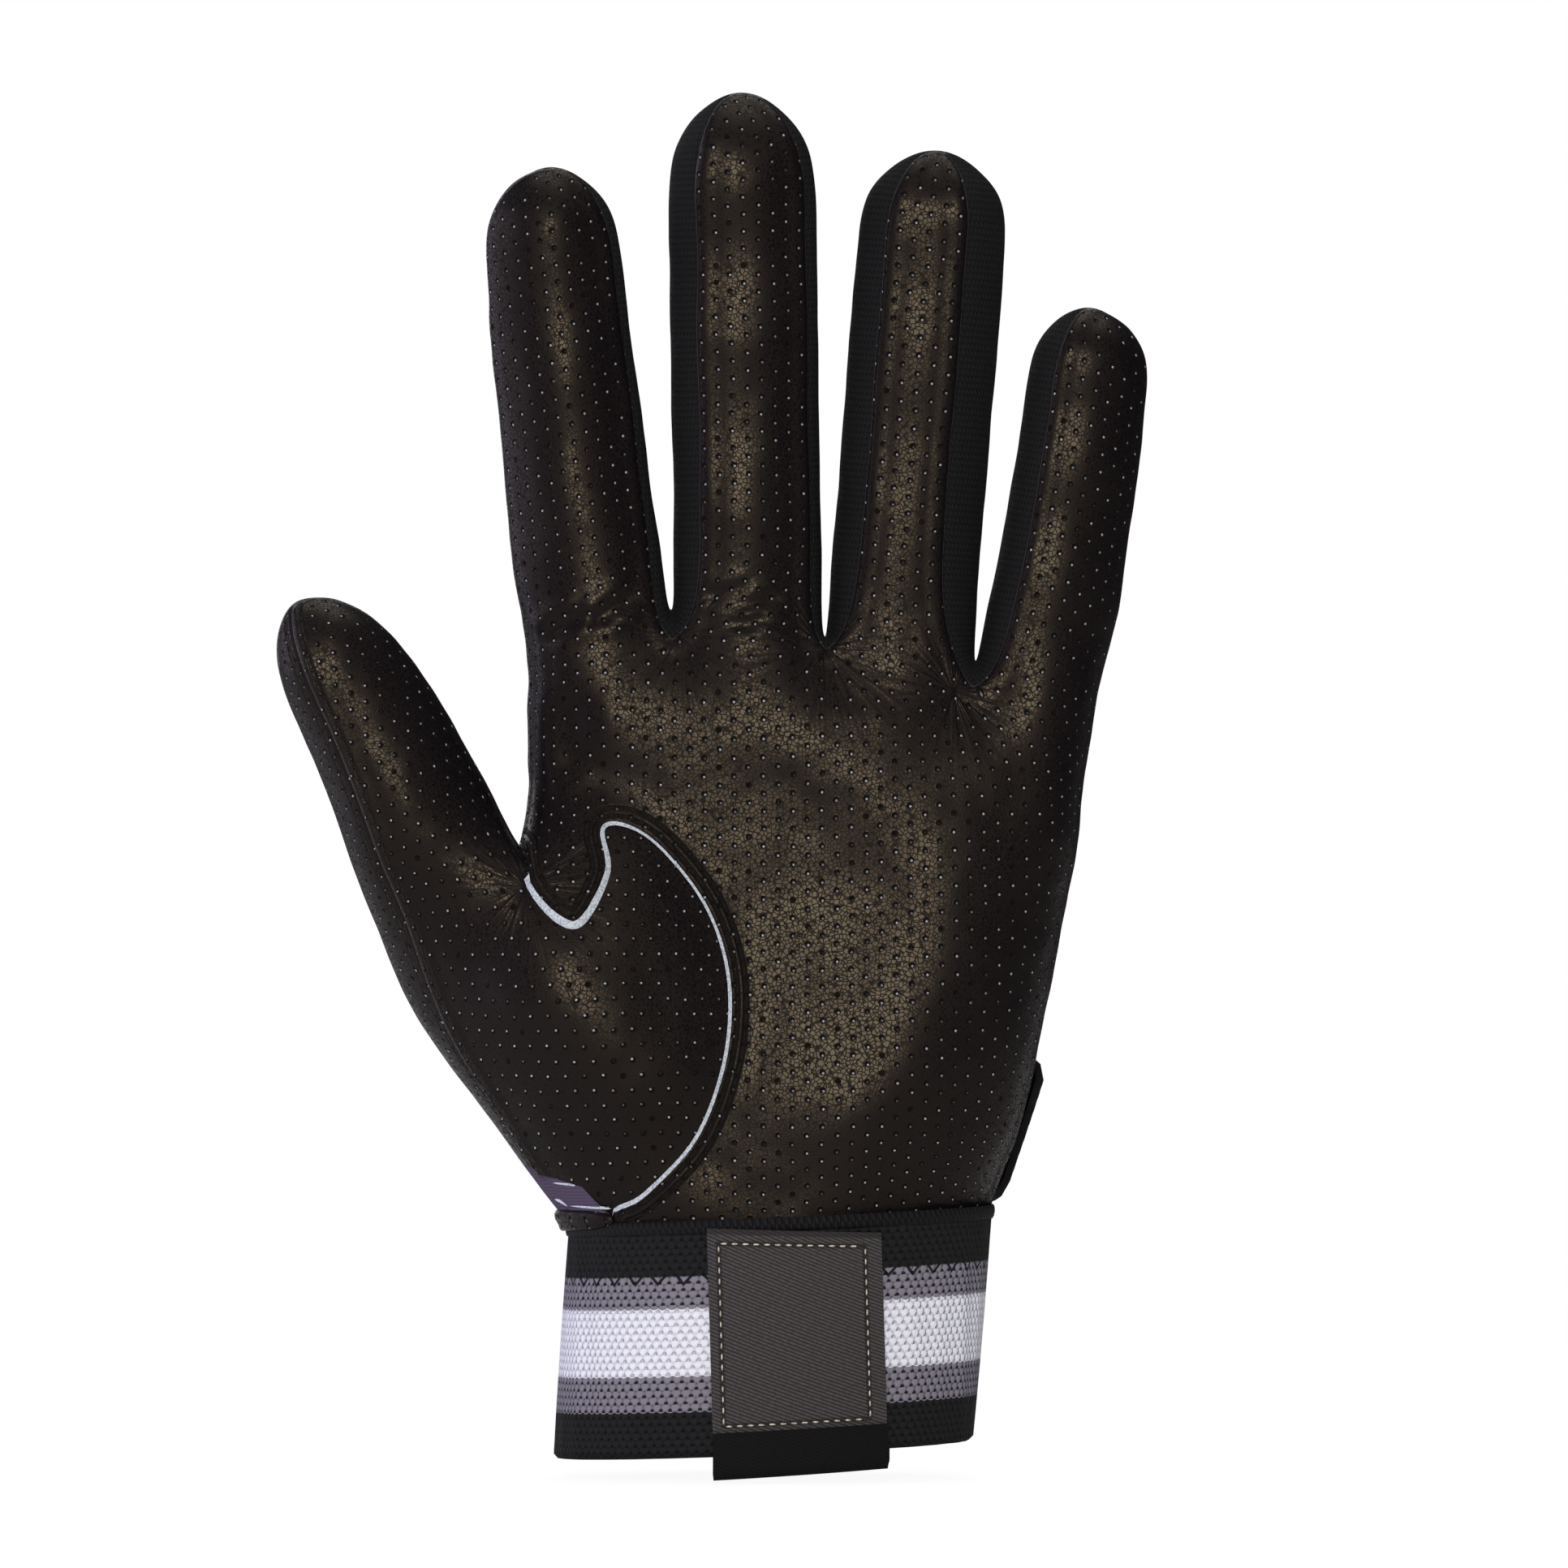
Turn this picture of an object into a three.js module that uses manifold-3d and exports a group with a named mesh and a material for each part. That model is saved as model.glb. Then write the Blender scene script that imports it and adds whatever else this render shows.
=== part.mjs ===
// Batting glove for the left hand, an assembly of sewn panels, in millimetres.
// The palm faces -Y, the fingers point to +Z and the thumb lies on the -X side.
// The origin is the centre of the cuff's mouth.
// A coarse cage of the worn shape is smoothed, and each panel is a shell over some of its faces.

import * as THREE from 'three';
import Module from 'manifold-3d';
import { mergeVertices } from 'three/addons/utils/BufferGeometryUtils.js';

const wasm = await Module();
wasm.setup();

// Sheet goods, and the gaps at the seams and at the bends
const LEATHER_THICKNESS = 1.0;
const KNIT_THICKNESS = 0.9;
const SEAM_GAP = 0.3;
const BEND_GAP = 0.4;

// Knitted wrist elastic
const CUFF_HEIGHT = 38;
const CUFF_WALL = 1.6;
const CUFF_DEPTH = 40;
const CUFF_TOP_WIDTH = 69.4;
const CUFF_TOP_CENTRE = 2.2;
const CUFF_MOUTH_WIDTH = 68.4;
const CUFF_MOUTH_CENTRE = -0.6;
const CUFF_SIDES = 48;

// Folded pull tab on the front of the cuff
const TAB_WIDTH = 28.3;
const TAB_CENTRE = 4.9;
const TAB_THICKNESS = 0.9;
const TAB_DROP = 3.6;
const TAB_TOP_SETBACK = 0.6;
const TAB_RETURN = 14;
const TAB_STEPS = 8;

// Heights from here on are above the palm's lower edge.
// Palm rows up to the thumb's web: height, outline edges, depths in front and behind, and how far
// the columns have moved from even angles at the wrist to the places of the digits
const WRIST_ROW = {
  height: 0,
  left: CUFF_TOP_CENTRE - CUFF_TOP_WIDTH / 2,
  right: CUFF_TOP_CENTRE + CUFF_TOP_WIDTH / 2,
  front: CUFF_DEPTH / 2,
  back: CUFF_DEPTH / 2,
  spread: 0,
};
const PALM_ROWS = [
  WRIST_ROW,
  { height: 12, left: -42, right: 40.6, front: 19, back: 17.5, spread: 0.25 },
  { height: 24, left: -49.6, right: 43.4, front: 18, back: 16, spread: 0.5 },
  { height: 38, left: -58.4, right: 45.8, front: 16.5, back: 15, spread: 0.8 },
  { height: 54, left: -63.6, right: 49.2, front: 15, back: 14, spread: 1 },
];
const WRIST_BANDS = 3;

// Shares of the palm's width at its columns, and the tilt of the thumb's base, at the web's row
const COLUMN_SHARES = [0, 0.045, 0.13, 0.225, 0.325, 0.432, 0.543, 0.652, 0.757, 0.855, 0.935, 0.985, 1];
const THUMB_BASE_TILT = [-7.5, -6, -2, 1.5];
const WEB_POINT = { x: -39.2, y: -1.5, height: 54.7 };

// Palm rows between the web's row and the finger roots: share of the way up, and depths
const UPPER_ROWS = [
  { share: 0.4, front: 13, back: 13 },
  { share: 0.72, front: 11.8, back: 12 },
];

// Soft swellings of the palm's front: place, spread and height
const PALM_SWELLS = [
  { name: 'thumb ball', x: -38, height: 31.7, across: 19, along: 24, swell: 5 },
  { name: 'heel', x: 28, height: 19.7, across: 17, along: 18, swell: 2.5 },
  { name: 'hollow', x: 4, height: 51.7, across: 19, along: 22, swell: -3 },
];

// Finger roots: the palm's front and back dip between the fingers, where the gussets' webs rise
const INDEX_ROOT_X = -28;
const FINGER_GAPS = [0.9, 1.4, 0.3];
const ROOT_DROP = 4;
const KNUCKLE_DROP = 7.5;
const KNUCKLE_FRONT = 10.4;
const KNUCKLE_BACK = 10.6;
const EDGE_DROP = 9;
const EDGE_SHARE = 0.36;
const EDGE_FULLNESS = 0.74;
const CROTCH_DROPS = [7.7, 7, 10.6];
const WEB_DROPS = [1.4, 7.6, 5];
const CROTCH_FRONT = 7;
const CROTCH_BACK = 7.5;

// Fingers: height of the root bend, lengths between the bends and on to the tip, lean to the thumb's
// side in degrees, bow to the other side, widths and depths, length of the round end, forward curl
// of the tip and how much of each side shows from the front between the silhouette and the seam
const FINGERS = {
  index: {
    bend: 102.7, lengths: [25, 22, 22.2], lean: 6.2, bow: -0.6, rootWidth: 23.8, tipWidth: 21,
    rootDepth: 18, tipDepth: 15, cap: 14, curl: 3, showLeft: 1, showRight: 1.6,
  },
  middle: {
    bend: 100.7, lengths: [30, 27, 26.4], lean: 0.9, bow: 0, rootWidth: 23.8, tipWidth: 24.2,
    rootDepth: 18, tipDepth: 15.5, cap: 16, curl: 3, showLeft: 4.6, showRight: 2,
  },
  ring: {
    bend: 98.7, lengths: [28, 25, 22.9], lean: -4.6, bow: 0, rootWidth: 23.6, tipWidth: 24,
    rootDepth: 17.5, tipDepth: 15, cap: 13.5, curl: 3, showLeft: 5, showRight: 6.5,
  },
  pinky: {
    bend: 94.7, lengths: [20, 17, 17.3], lean: -8.4, bow: 1.1, rootWidth: 20.6, tipWidth: 18.8,
    rootDepth: 16, tipDepth: 13.5, cap: 13, curl: 2.5, showLeft: 4, showRight: 1,
  },
};
const FINGER_RINGS = [0.1, 0.4, 0.7, 1];

// Thumb, with its bends square to its length
const THUMB = {
  rootX: -52.9, rootHeight: 53, bend: 6, lengths: [23, 24.4], lean: 26.6, bow: 1.7, rootWidth: 27.5,
  tipWidth: 20.6, rootDepth: 23, tipDepth: 17, cap: 18, forward: 5, curl: 9, showLeft: 4.5, showRight: 1,
};
const THUMB_RINGS = [0.28, 0.64, 1];

// Seam between the palm's leather and the thumb ball's panel, from the web to the wrist
const THUMB_BALL_SEAM = [
  [-40.3, 60.7], [-39, 54.2], [-34, 48.3], [-29.6, 48.1], [-25.4, 56.7], [-26.2, 64.1], [-20, 62.9],
  [-12.6, 55.3], [-8, 46.7], [-6.2, 36.7], [-7.4, 25.2], [-12, 13.7], [-20, 4.3], [-26, -1.3],
];
const SEAM_STEPS = 40;

// Woven insert at the thumb side of the wrist
const INSERT_UPPER_EDGE = [[-50, 12.7], [-30, 6.1], [-25.8, 1.3]];

// Closure strap across the back of the wrist, from its sewn end to its free end
const STRAP_LOW = 2.7;
const STRAP_WIDTH = 24.5;
const STRAP_THICKNESS = 1.5;
const STRAP_BEND_X = -19;
const STRAP_SEWN_LENGTH = 8;
const STRAP_END_DEPTH = 8;
const FASTENER_THICKNESS = 0.7;
const FASTENER_INSET = 2.5;
const FASTENER_END_X = 37;
const LOOP_LENGTH = 35;
const HOOK_LENGTH = 27;

// Colours and finishes
const FINISHES = {
  leather: { color: 0x1b1918, roughness: 0.5, metalness: 0 },
  knit: { color: 0x131314, roughness: 0.9, metalness: 0 },
  back: { color: 0x17171a, roughness: 0.85, metalness: 0 },
  elastic: { color: 0xb9b6bf, roughness: 0.9, metalness: 0 },
  label: { color: 0x4a4744, roughness: 0.8, metalness: 0 },
  insert: { color: 0x463c4c, roughness: 0.85, metalness: 0 },
  strap: { color: 0x161617, roughness: 0.6, metalness: 0 },
  fastener: { color: 0x0f0f10, roughness: 0.95, metalness: 0 },
};

// Shares that describe the smoothing: how far its surface lies inside the cage's points
const SQUARENESS = 1.05;
const RING_REACH = 0.548;
const EVEN_RING_SHRINK = 0.9886;
const TIP_PULL = 4 / 9;
const CAP_RING_PLACE = 0.6;
const CAP_RING_WIDTH = 0.92;

const FAR = 400;
const HALF_DEPTH = 60;

const mix = (a, b, t) => a + (b - a) * t;
const fingerNames = Object.keys(FINGERS);

// Finger roots stand side by side: each centre follows from the widths and the gaps before it
fingerNames.forEach((name, i) => {
  const finger = FINGERS[name];
  const before = FINGERS[fingerNames[i - 1]];
  const step = i > 0 ? before.rootWidth / 2 + FINGER_GAPS[i - 1] + finger.rootWidth / 2 : 0;
  finger.rootX = i > 0 ? before.rootX + step : INDEX_ROOT_X;
  finger.rootHeight = finger.bend - ROOT_DROP;
});

// A cage of four-sided faces, each with the names of its panel and of its region
class Cage {
  constructor() {
    this.points = [];
    this.faces = [];
  }

  point(x, y, z) {
    this.points.push(new THREE.Vector3(x, y, z));
    return this.points.length - 1;
  }

  face(corners, panel, region) {
    this.faces.push({ corners, panel, region });
  }

  // Faces between two rings of points, with one panel name for each column
  band(lower, upper, panels, region) {
    lower.forEach((start, column) => {
      const next = (column + 1) % lower.length;
      this.face([start, lower[next], upper[next], upper[column]], panels[column], region);
    });
  }
}

// How far the palm's front stands forward of its plain section at a place
function frontSwell(x, z) {
  const rise = (place) => {
    const across = (x - place.x) / place.across;
    const along = (z - place.height) / place.along;
    return place.swell * Math.exp(-across * across - along * along);
  };
  return PALM_SWELLS.reduce((total, place) => total + rise(place), 0);
}

// A ring of points from three functions of the column: place across, height, and depth on a side
function palmRing(cage, last, across, height, depth) {
  const columns = [...Array(last - 1).keys()].map((i) => i + 1);
  const left = cage.point(across(0), 0, height(0));
  const front = columns.map((i) => cage.point(across(i), -depth(i, 'front'), height(i)));
  const right = cage.point(across(last), 0, height(last));
  const back = columns.map((i) => cage.point(across(i), depth(i, 'back'), height(i)));
  return [left, ...front, right, ...back.reverse()];
}

// How full a flat oval section of a given power is at a share across it
function fullness(share, power) {
  const u = Math.min(1, Math.abs(2 * share - 1));
  return (1 - u ** power) ** (1 / power);
}

// A ring of 24 points round the lower palm: side, 11 front columns, side, 11 back columns
function lowerPalmRing(cage, row) {
  const last = COLUMN_SHARES.length - 1;
  const width = row.right - row.left;
  const even = (i) => (1 - Math.cos((Math.PI * i) / last)) / 2;
  const shares = COLUMN_SHARES.map((share, i) => mix(even(i), share, row.spread));
  shares[0] = -shares[1] / 2;
  shares[last] = 1.5 - shares[last - 1] / 2;
  const across = (i) => row.left + width * shares[i];
  const height = (i) => row.height + (THUMB_BASE_TILT[i] ?? 0) * row.spread ** 2;
  const depth = (i, side) => {
    const full = mix(Math.sin((Math.PI * i) / last), fullness(shares[i], 3), row.spread);
    const swelling = side === 'front' ? frontSwell(across(i), height(i)) * row.spread : 0;
    return (row[side] * full) / EVEN_RING_SHRINK + swelling;
  };
  return palmRing(cage, last, across, height, depth);
}

// Columns of the finger roots: outer side, edge, then knuckles with the crotches between them
function rootColumns() {
  const crotch = (i) => {
    const [left, right] = [FINGERS[fingerNames[i]], FINGERS[fingerNames[i + 1]]];
    return {
      x: left.rootX + left.rootWidth / 2 + FINGER_GAPS[i] / 2,
      height: Math.min(left.bend, right.bend) - CROTCH_DROPS[i],
      front: CROTCH_FRONT,
      back: CROTCH_BACK,
    };
  };
  const edge = (finger, side, share) => ({
    x: finger.rootX + side * share * finger.rootWidth,
    height: finger.bend - EDGE_DROP,
    front: KNUCKLE_FRONT * EDGE_FULLNESS,
    back: KNUCKLE_BACK * EDGE_FULLNESS,
  });
  const knuckles = fingerNames.flatMap((name, i) => {
    const { rootX, bend } = FINGERS[name];
    const knuckle = { x: rootX, height: bend - KNUCKLE_DROP, front: KNUCKLE_FRONT, back: KNUCKLE_BACK };
    return i < fingerNames.length - 1 ? [knuckle, crotch(i)] : [knuckle];
  });
  const { index, pinky } = FINGERS;
  const outer = [edge(index, -1, 0.5), edge(index, -1, EDGE_SHARE)];
  return [...outer, ...knuckles, edge(pinky, 1, EDGE_SHARE), edge(pinky, 1, 0.5)];
}

// A ring of 20 points round the palm above the thumb, part of the way to the finger roots
function upperPalmRing(cage, row, webRing, roots) {
  const last = roots.length - 1;
  const across = (i) => mix(cage.points[webRing[i]].x, roots[i].x, row.share);
  const height = (i) => mix(cage.points[webRing[i]].z, roots[i].height, row.share);
  const depth = (i, side) => {
    const share = (across(i) - across(0)) / (across(last) - across(0));
    const swelling = side === 'front' ? frontSwell(across(i), height(i)) : 0;
    return row[side] * fullness(share, 4) + swelling;
  };
  return palmRing(cage, last, across, height, depth);
}

// The ring of 20 points at the finger roots
function rootRing(cage, roots) {
  const across = (i) => roots[i].x;
  const height = (i) => roots[i].height;
  return palmRing(cage, roots.length - 1, across, height, (i, side) => roots[i][side]);
}

// A digit's length, its direction, the direction to its pinky side and its centre line
function digitFrame(digit) {
  const lean = THREE.MathUtils.degToRad(digit.lean);
  const along = new THREE.Vector2(-Math.sin(lean), Math.cos(lean));
  const side = new THREE.Vector2(along.y, -along.x);
  const root = new THREE.Vector2(digit.rootX, digit.rootHeight);
  const reach = digit.lengths.reduce((total, length) => total + length, digit.bend);
  const length = digit === THUMB ? reach : (reach - digit.rootHeight) / along.y;
  const centre = (distance) => {
    const t = distance / length;
    const bow = digit.bow * 4 * t * (1 - t);
    return root.clone().addScaledVector(along, distance).addScaledVector(side, bow);
  };
  return { root, along, side, length, centre };
}

// Angle on a ring whose smoothed point leaves a share of the width between it and the silhouette
function seamAngle(share) {
  const cosine = ((6 * (0.5 - share)) / RING_REACH - 1) / (4 * SQUARENESS);
  return Math.acos(THREE.MathUtils.clamp(cosine, -0.94, 0.94));
}

// A ring of 8 points round a digit: side, three front points, side, three back points
function digitRing(cage, digit, distance, shrink) {
  const { length, centre, side } = digitFrame(digit);
  const t = Math.min(1, distance / (length - digit.cap));
  const width = mix(digit.rootWidth, digit.tipWidth, t);
  const depth = mix(digit.rootDepth, digit.tipDepth, t);
  const forward = mix(digit.forward ?? 0, digit.curl, (distance / length) ** 2);
  const left = Math.PI - seamAngle(digit.showLeft / width);
  const right = seamAngle(digit.showRight / width);
  const backAngles = [-0.25, -0.5, -0.75].map((turn) => turn * Math.PI);
  const angles = [Math.PI, left, (left + right) / 2, right, 0, ...backAngles];
  const size = (i, part) => Math.abs(part(angles[i]));
  const pull = (i, j, part) => (4 + SQUARENESS * (size(i, part) + size(j, part))) / 6;
  const halfWidth = (width * shrink) / (pull(7, 1, Math.cos) + pull(3, 5, Math.cos));
  const halfDepth = (depth * shrink) / 2 / (pull(1, 3, Math.sin) * size(2, Math.sin));
  const middle = centre(distance);
  return angles.map((angle, i) => {
    const reach = i % 2 === 1 ? SQUARENESS : 1;
    const place = middle.clone().addScaledVector(side, halfWidth * reach * Math.cos(angle));
    return cage.point(place.x, -halfDepth * reach * Math.sin(angle) - forward, place.y);
  });
}

// A digit's rings, from the ring that it shares with the palm up to its round end
function addDigit(cage, name, digit, ringShares, base, panels) {
  const { length, centre } = digitFrame(digit);
  const body = length - digit.cap;
  const capRing = body + digit.cap * CAP_RING_PLACE;
  const rings = ringShares.map((share) => digitRing(cage, digit, share * body, 1));
  rings.push(digitRing(cage, digit, capRing, CAP_RING_WIDTH));
  let lower = base;
  for (const ring of rings) {
    cage.band(lower, ring, panels, name);
    lower = ring;
  }
  const peak = centre(capRing + (digit.cap * (1 - CAP_RING_PLACE)) / TIP_PULL);
  const crown = cage.point(peak.x, -digit.curl, peak.y);
  const [sideLeft, frontLeft, frontMid, frontRight, sideRight, backRight, backMid, backLeft] = lower;
  cage.face([sideLeft, frontLeft, frontMid, crown], 'front', name);
  cage.face([frontMid, frontRight, sideRight, crown], 'front', name);
  cage.face([sideRight, backRight, backMid, crown], 'back', name);
  cage.face([backMid, backLeft, sideLeft, crown], 'back', name);
}

const repeat = (name, count) => Array(count).fill(name);

// The whole cage: palm, thumb and fingers, open at the wrist
function handCage() {
  const cage = new Cage();
  const lowerPanels = ['back', ...repeat('front', 11), ...repeat('back', 12)];
  const lowerRings = PALM_ROWS.map((row) => lowerPalmRing(cage, row));
  for (let i = 1; i < lowerRings.length; i += 1) {
    cage.band(lowerRings[i - 1], lowerRings[i], lowerPanels, i <= WRIST_BANDS ? 'wrist' : 'palm');
  }
  const top = lowerRings.at(-1);
  const web = cage.point(WEB_POINT.x, WEB_POINT.y, WEB_POINT.height);
  const thumbBase = [top[0], top[1], top[2], top[3], web, top[21], top[22], top[23]];
  const thumbPanels = ['back', ...repeat('front', 3), ...repeat('back', 4)];
  addDigit(cage, 'thumb', THUMB, THUMB_RINGS, thumbBase, thumbPanels);

  const webRing = [web, ...top.slice(3, 22)];
  const columns = rootColumns();
  const upperRings = UPPER_ROWS.map((row) => upperPalmRing(cage, row, webRing, columns));
  const roots = rootRing(cage, columns);
  const upperPanels = [...repeat('front', 10), ...repeat('back', 10)];
  let lower = webRing;
  for (const ring of [...upperRings, roots]) {
    cage.band(lower, ring, upperPanels, 'palm');
    lower = ring;
  }
  const ridges = WEB_DROPS.map((drop, i) => {
    const bend = Math.min(FINGERS[fingerNames[i]].bend, FINGERS[fingerNames[i + 1]].bend);
    return cage.point(columns[3 + 2 * i].x, 0, bend - drop);
  });
  const sides = [roots[0], ...ridges, roots[10]];
  fingerNames.forEach((name, i) => {
    const front = roots.slice(1 + 2 * i, 4 + 2 * i);
    const back = roots.slice(17 - 2 * i, 20 - 2 * i);
    const base = [sides[i], ...front, sides[i + 1], ...back];
    const left = i === 0 ? ['front', 'back'] : repeat(`gusset${i}`, 2);
    const right = i === 3 ? ['front', 'back'] : repeat(`gusset${i + 1}`, 2);
    const panels = [left[0], 'front', 'front', right[0], right[1], 'back', 'back', left[1]];
    addDigit(cage, name, FINGERS[name], FINGER_RINGS, base, panels);
  });
  return cage;
}

const edgeKey = (a, b) => (a < b ? `${a}_${b}` : `${b}_${a}`);
const otherEnd = (edge, point) => (edge.ends[0] === point ? edge.ends[1] : edge.ends[0]);
const isRim = (edge) => edge.faces.length === 1;

// Edges of a mesh with the faces on them, and the edges and faces at each point
function neighbours(points, faces) {
  const edges = new Map();
  const around = points.map(() => ({ edges: [], faces: [] }));
  faces.forEach(({ corners }, f) => {
    corners.forEach((a, i) => {
      const b = corners[(i + 1) % 4];
      const key = edgeKey(a, b);
      if (!edges.has(key)) {
        const edge = { ends: [a, b], faces: [] };
        edges.set(key, edge);
        around[a].edges.push(edge);
        around[b].edges.push(edge);
      }
      edges.get(key).faces.push(f);
      around[a].faces.push(f);
    });
  });
  return { edges, around };
}

function average(points) {
  const total = points.reduce((sum, point) => sum.add(point), new THREE.Vector3());
  return total.divideScalar(points.length);
}

// A point on an open rim, smoothed along the rim alone
function smoothRimPoint(points, rim, i, weight) {
  const total = points[i].clone().multiplyScalar(weight);
  rim.forEach((edge) => total.add(points[otherEnd(edge, i)]));
  return total.divideScalar(weight + 2);
}

// One Catmull-Clark step: every face becomes four
function subdivide(mesh) {
  const { edges, around } = neighbours(mesh.points, mesh.faces);
  const at = (i) => mesh.points[i];
  const faceCentre = (f) => average(mesh.faces[f].corners.map(at));
  const points = mesh.points.map((point, i) => {
    const rim = around[i].edges.filter(isRim);
    if (rim.length > 0) return smoothRimPoint(mesh.points, rim, i, 6);
    const count = around[i].faces.length;
    const faceMean = average(around[i].faces.map(faceCentre));
    const edgeMean = average(around[i].edges.map((edge) => average(edge.ends.map(at))));
    const own = point.clone().multiplyScalar(count - 3);
    return own.add(edgeMean.multiplyScalar(2)).add(faceMean).divideScalar(count);
  });
  const facePoints = mesh.faces.map((_, f) => points.push(faceCentre(f)) - 1);
  const edgePoints = new Map();
  for (const [key, edge] of edges) {
    const inner = isRim(edge) ? [] : edge.faces.map((f) => points[facePoints[f]]);
    edgePoints.set(key, points.push(average([...edge.ends.map(at), ...inner])) - 1);
  }
  const faces = mesh.faces.flatMap(({ corners, panel, region }, f) =>
    corners.map((corner, i) => {
      const next = edgePoints.get(edgeKey(corner, corners[(i + 1) % 4]));
      const previous = edgePoints.get(edgeKey(corners[(i + 3) % 4], corner));
      return { corners: [corner, next, facePoints[f], previous], panel, region };
    }),
  );
  return { points, faces };
}

// The same mesh with its points moved onto the smooth surface that further steps would reach
function onLimitSurface({ points, faces }) {
  const { around } = neighbours(points, faces);
  const moved = points.map((point, i) => {
    const rim = around[i].edges.filter(isRim);
    if (rim.length > 0) return smoothRimPoint(points, rim, i, 4);
    const count = around[i].faces.length;
    const total = point.clone().multiplyScalar(count * count);
    around[i].edges.forEach((edge) => total.addScaledVector(points[otherEnd(edge, i)], 4));
    around[i].faces.forEach((f) => {
      const { corners } = faces[f];
      total.add(points[corners[(corners.indexOf(i) + 2) % 4]]);
    });
    return total.divideScalar(count * (count + 5));
  });
  return { points: moved, faces };
}

// Outward direction at every point of a mesh
function outwardNormals({ points, faces }) {
  const normals = points.map(() => new THREE.Vector3());
  for (const { corners } of faces) {
    const [a, b, c, d] = corners.map((i) => points[i]);
    const normal = c.clone().sub(a).cross(d.clone().sub(b));
    corners.forEach((i) => normals[i].add(normal));
  }
  return normals.map((normal) => normal.normalize());
}

const hand = onLimitSurface(subdivide(handCage()));
const handNormals = outwardNormals(hand);

function solidFrom(points, triangles) {
  const vertProperties = new Float32Array(points.flatMap((point) => point.toArray()));
  const triVerts = new Uint32Array(triangles.flat());
  return new wasm.Manifold(new wasm.Mesh({ numProp: 3, vertProperties, triVerts }));
}

// A closed shell over the chosen faces, between two heights over the smooth surface.
// Its edges stand back from the seam, by half the seam's gap where nothing else is said.
function shell(chosen, low, high, setback = SEAM_GAP / 2) {
  const faces = hand.faces.filter(chosen);
  const { edges, around } = neighbours(hand.points, faces);
  const centre = (f) => average(faces[f].corners.map((c) => hand.points[c]));
  const used = hand.points.map((_, i) => i).filter((i) => around[i].faces.length > 0);
  const base = used.map((i) => {
    const point = hand.points[i];
    const rim = around[i].edges.filter(isRim);
    if (rim.length === 0) return point;
    const [before, after] = [rim[0], rim.at(-1)].map((edge) => hand.points[otherEnd(edge, i)]);
    const along = after.clone().sub(before).normalize();
    const inward = average(around[i].faces.map(centre)).sub(point);
    inward.addScaledVector(along, -inward.dot(along));
    inward.addScaledVector(handNormals[i], -inward.dot(handNormals[i]));
    return point.clone().addScaledVector(inward.normalize(), setback);
  });
  const layer = (height) => used.map((i, k) => base[k].clone().addScaledVector(handNormals[i], height));
  const number = new Map(used.map((i, k) => [i, k]));
  const under = used.length;
  const triangles = [];
  const quad = (a, b, c, d) => triangles.push([a, b, c], [a, c, d]);
  for (const { corners } of faces) {
    const [a, b, c, d] = corners.map((i) => number.get(i));
    quad(a, b, c, d);
    quad(a + under, d + under, c + under, b + under);
  }
  for (const edge of [...edges.values()].filter(isRim)) {
    const [a, b] = edge.ends.map((i) => number.get(i));
    quad(b, a, a + under, b + under);
  }
  return solidFrom([...layer(high), ...layer(low)], triangles);
}

// A prism with an outline in X and Z, between two depths
function prism(outline, front, back) {
  const shape = new THREE.Shape(outline.map(([x, z]) => new THREE.Vector2(x, z)));
  const geometry = new THREE.ExtrudeGeometry(shape, { depth: back - front, bevelEnabled: false });
  geometry.rotateX(Math.PI / 2);
  geometry.translate(0, back, 0);
  geometry.deleteAttribute('normal');
  geometry.deleteAttribute('uv');
  const merged = mergeVertices(geometry);
  const vertProperties = new Float32Array(merged.attributes.position.array);
  const triVerts = new Uint32Array(merged.index.array);
  return new wasm.Manifold(new wasm.Mesh({ numProp: 3, vertProperties, triVerts }));
}

const throughPrism = (outline) => prism(outline, -HALF_DEPTH, HALF_DEPTH);
const slab = (low, high) => throughPrism([[-FAR, low], [FAR, low], [FAR, high], [-FAR, high]]);

// An outline moved outwards by a distance; its points run clockwise
function grown(outline, distance) {
  return outline.map(([x, z], i) => {
    const [beforeX, beforeZ] = outline.at(i - 1);
    const [afterX, afterZ] = outline[(i + 1) % outline.length];
    const before = new THREE.Vector2(x - beforeX, z - beforeZ).normalize();
    const after = new THREE.Vector2(afterX - x, afterZ - z).normalize();
    const outward = new THREE.Vector2(-before.y - after.y, before.x + after.x).normalize();
    const square = Math.max(0.5, outward.y * before.x - outward.x * before.y);
    return [x + (outward.x * distance) / square, z + (outward.y * distance) / square];
  });
}

// The cuff's group has the centre of the mouth at the origin, and the hand's group stands on the cuff
const group = new THREE.Group();
const cuffGroup = new THREE.Group();
cuffGroup.position.x = -CUFF_MOUTH_CENTRE;
group.add(cuffGroup);
const handGroup = new THREE.Group();
handGroup.position.z = CUFF_HEIGHT + SEAM_GAP;
cuffGroup.add(handGroup);

function addPiece(parent, name, solid, finish) {
  const mesh = solid.getMesh();
  const geometry = new THREE.BufferGeometry();
  geometry.setAttribute('position', new THREE.BufferAttribute(new Float32Array(mesh.vertProperties), 3));
  geometry.setIndex(new THREE.BufferAttribute(new Uint32Array(mesh.triVerts), 1));
  geometry.computeVertexNormals();
  const piece = new THREE.Mesh(geometry, new THREE.MeshStandardMaterial(FINISHES[finish]));
  piece.name = name;
  parent.add(piece);
}

const addHandPiece = (name, solid, finish) => addPiece(handGroup, name, solid, finish);

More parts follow.
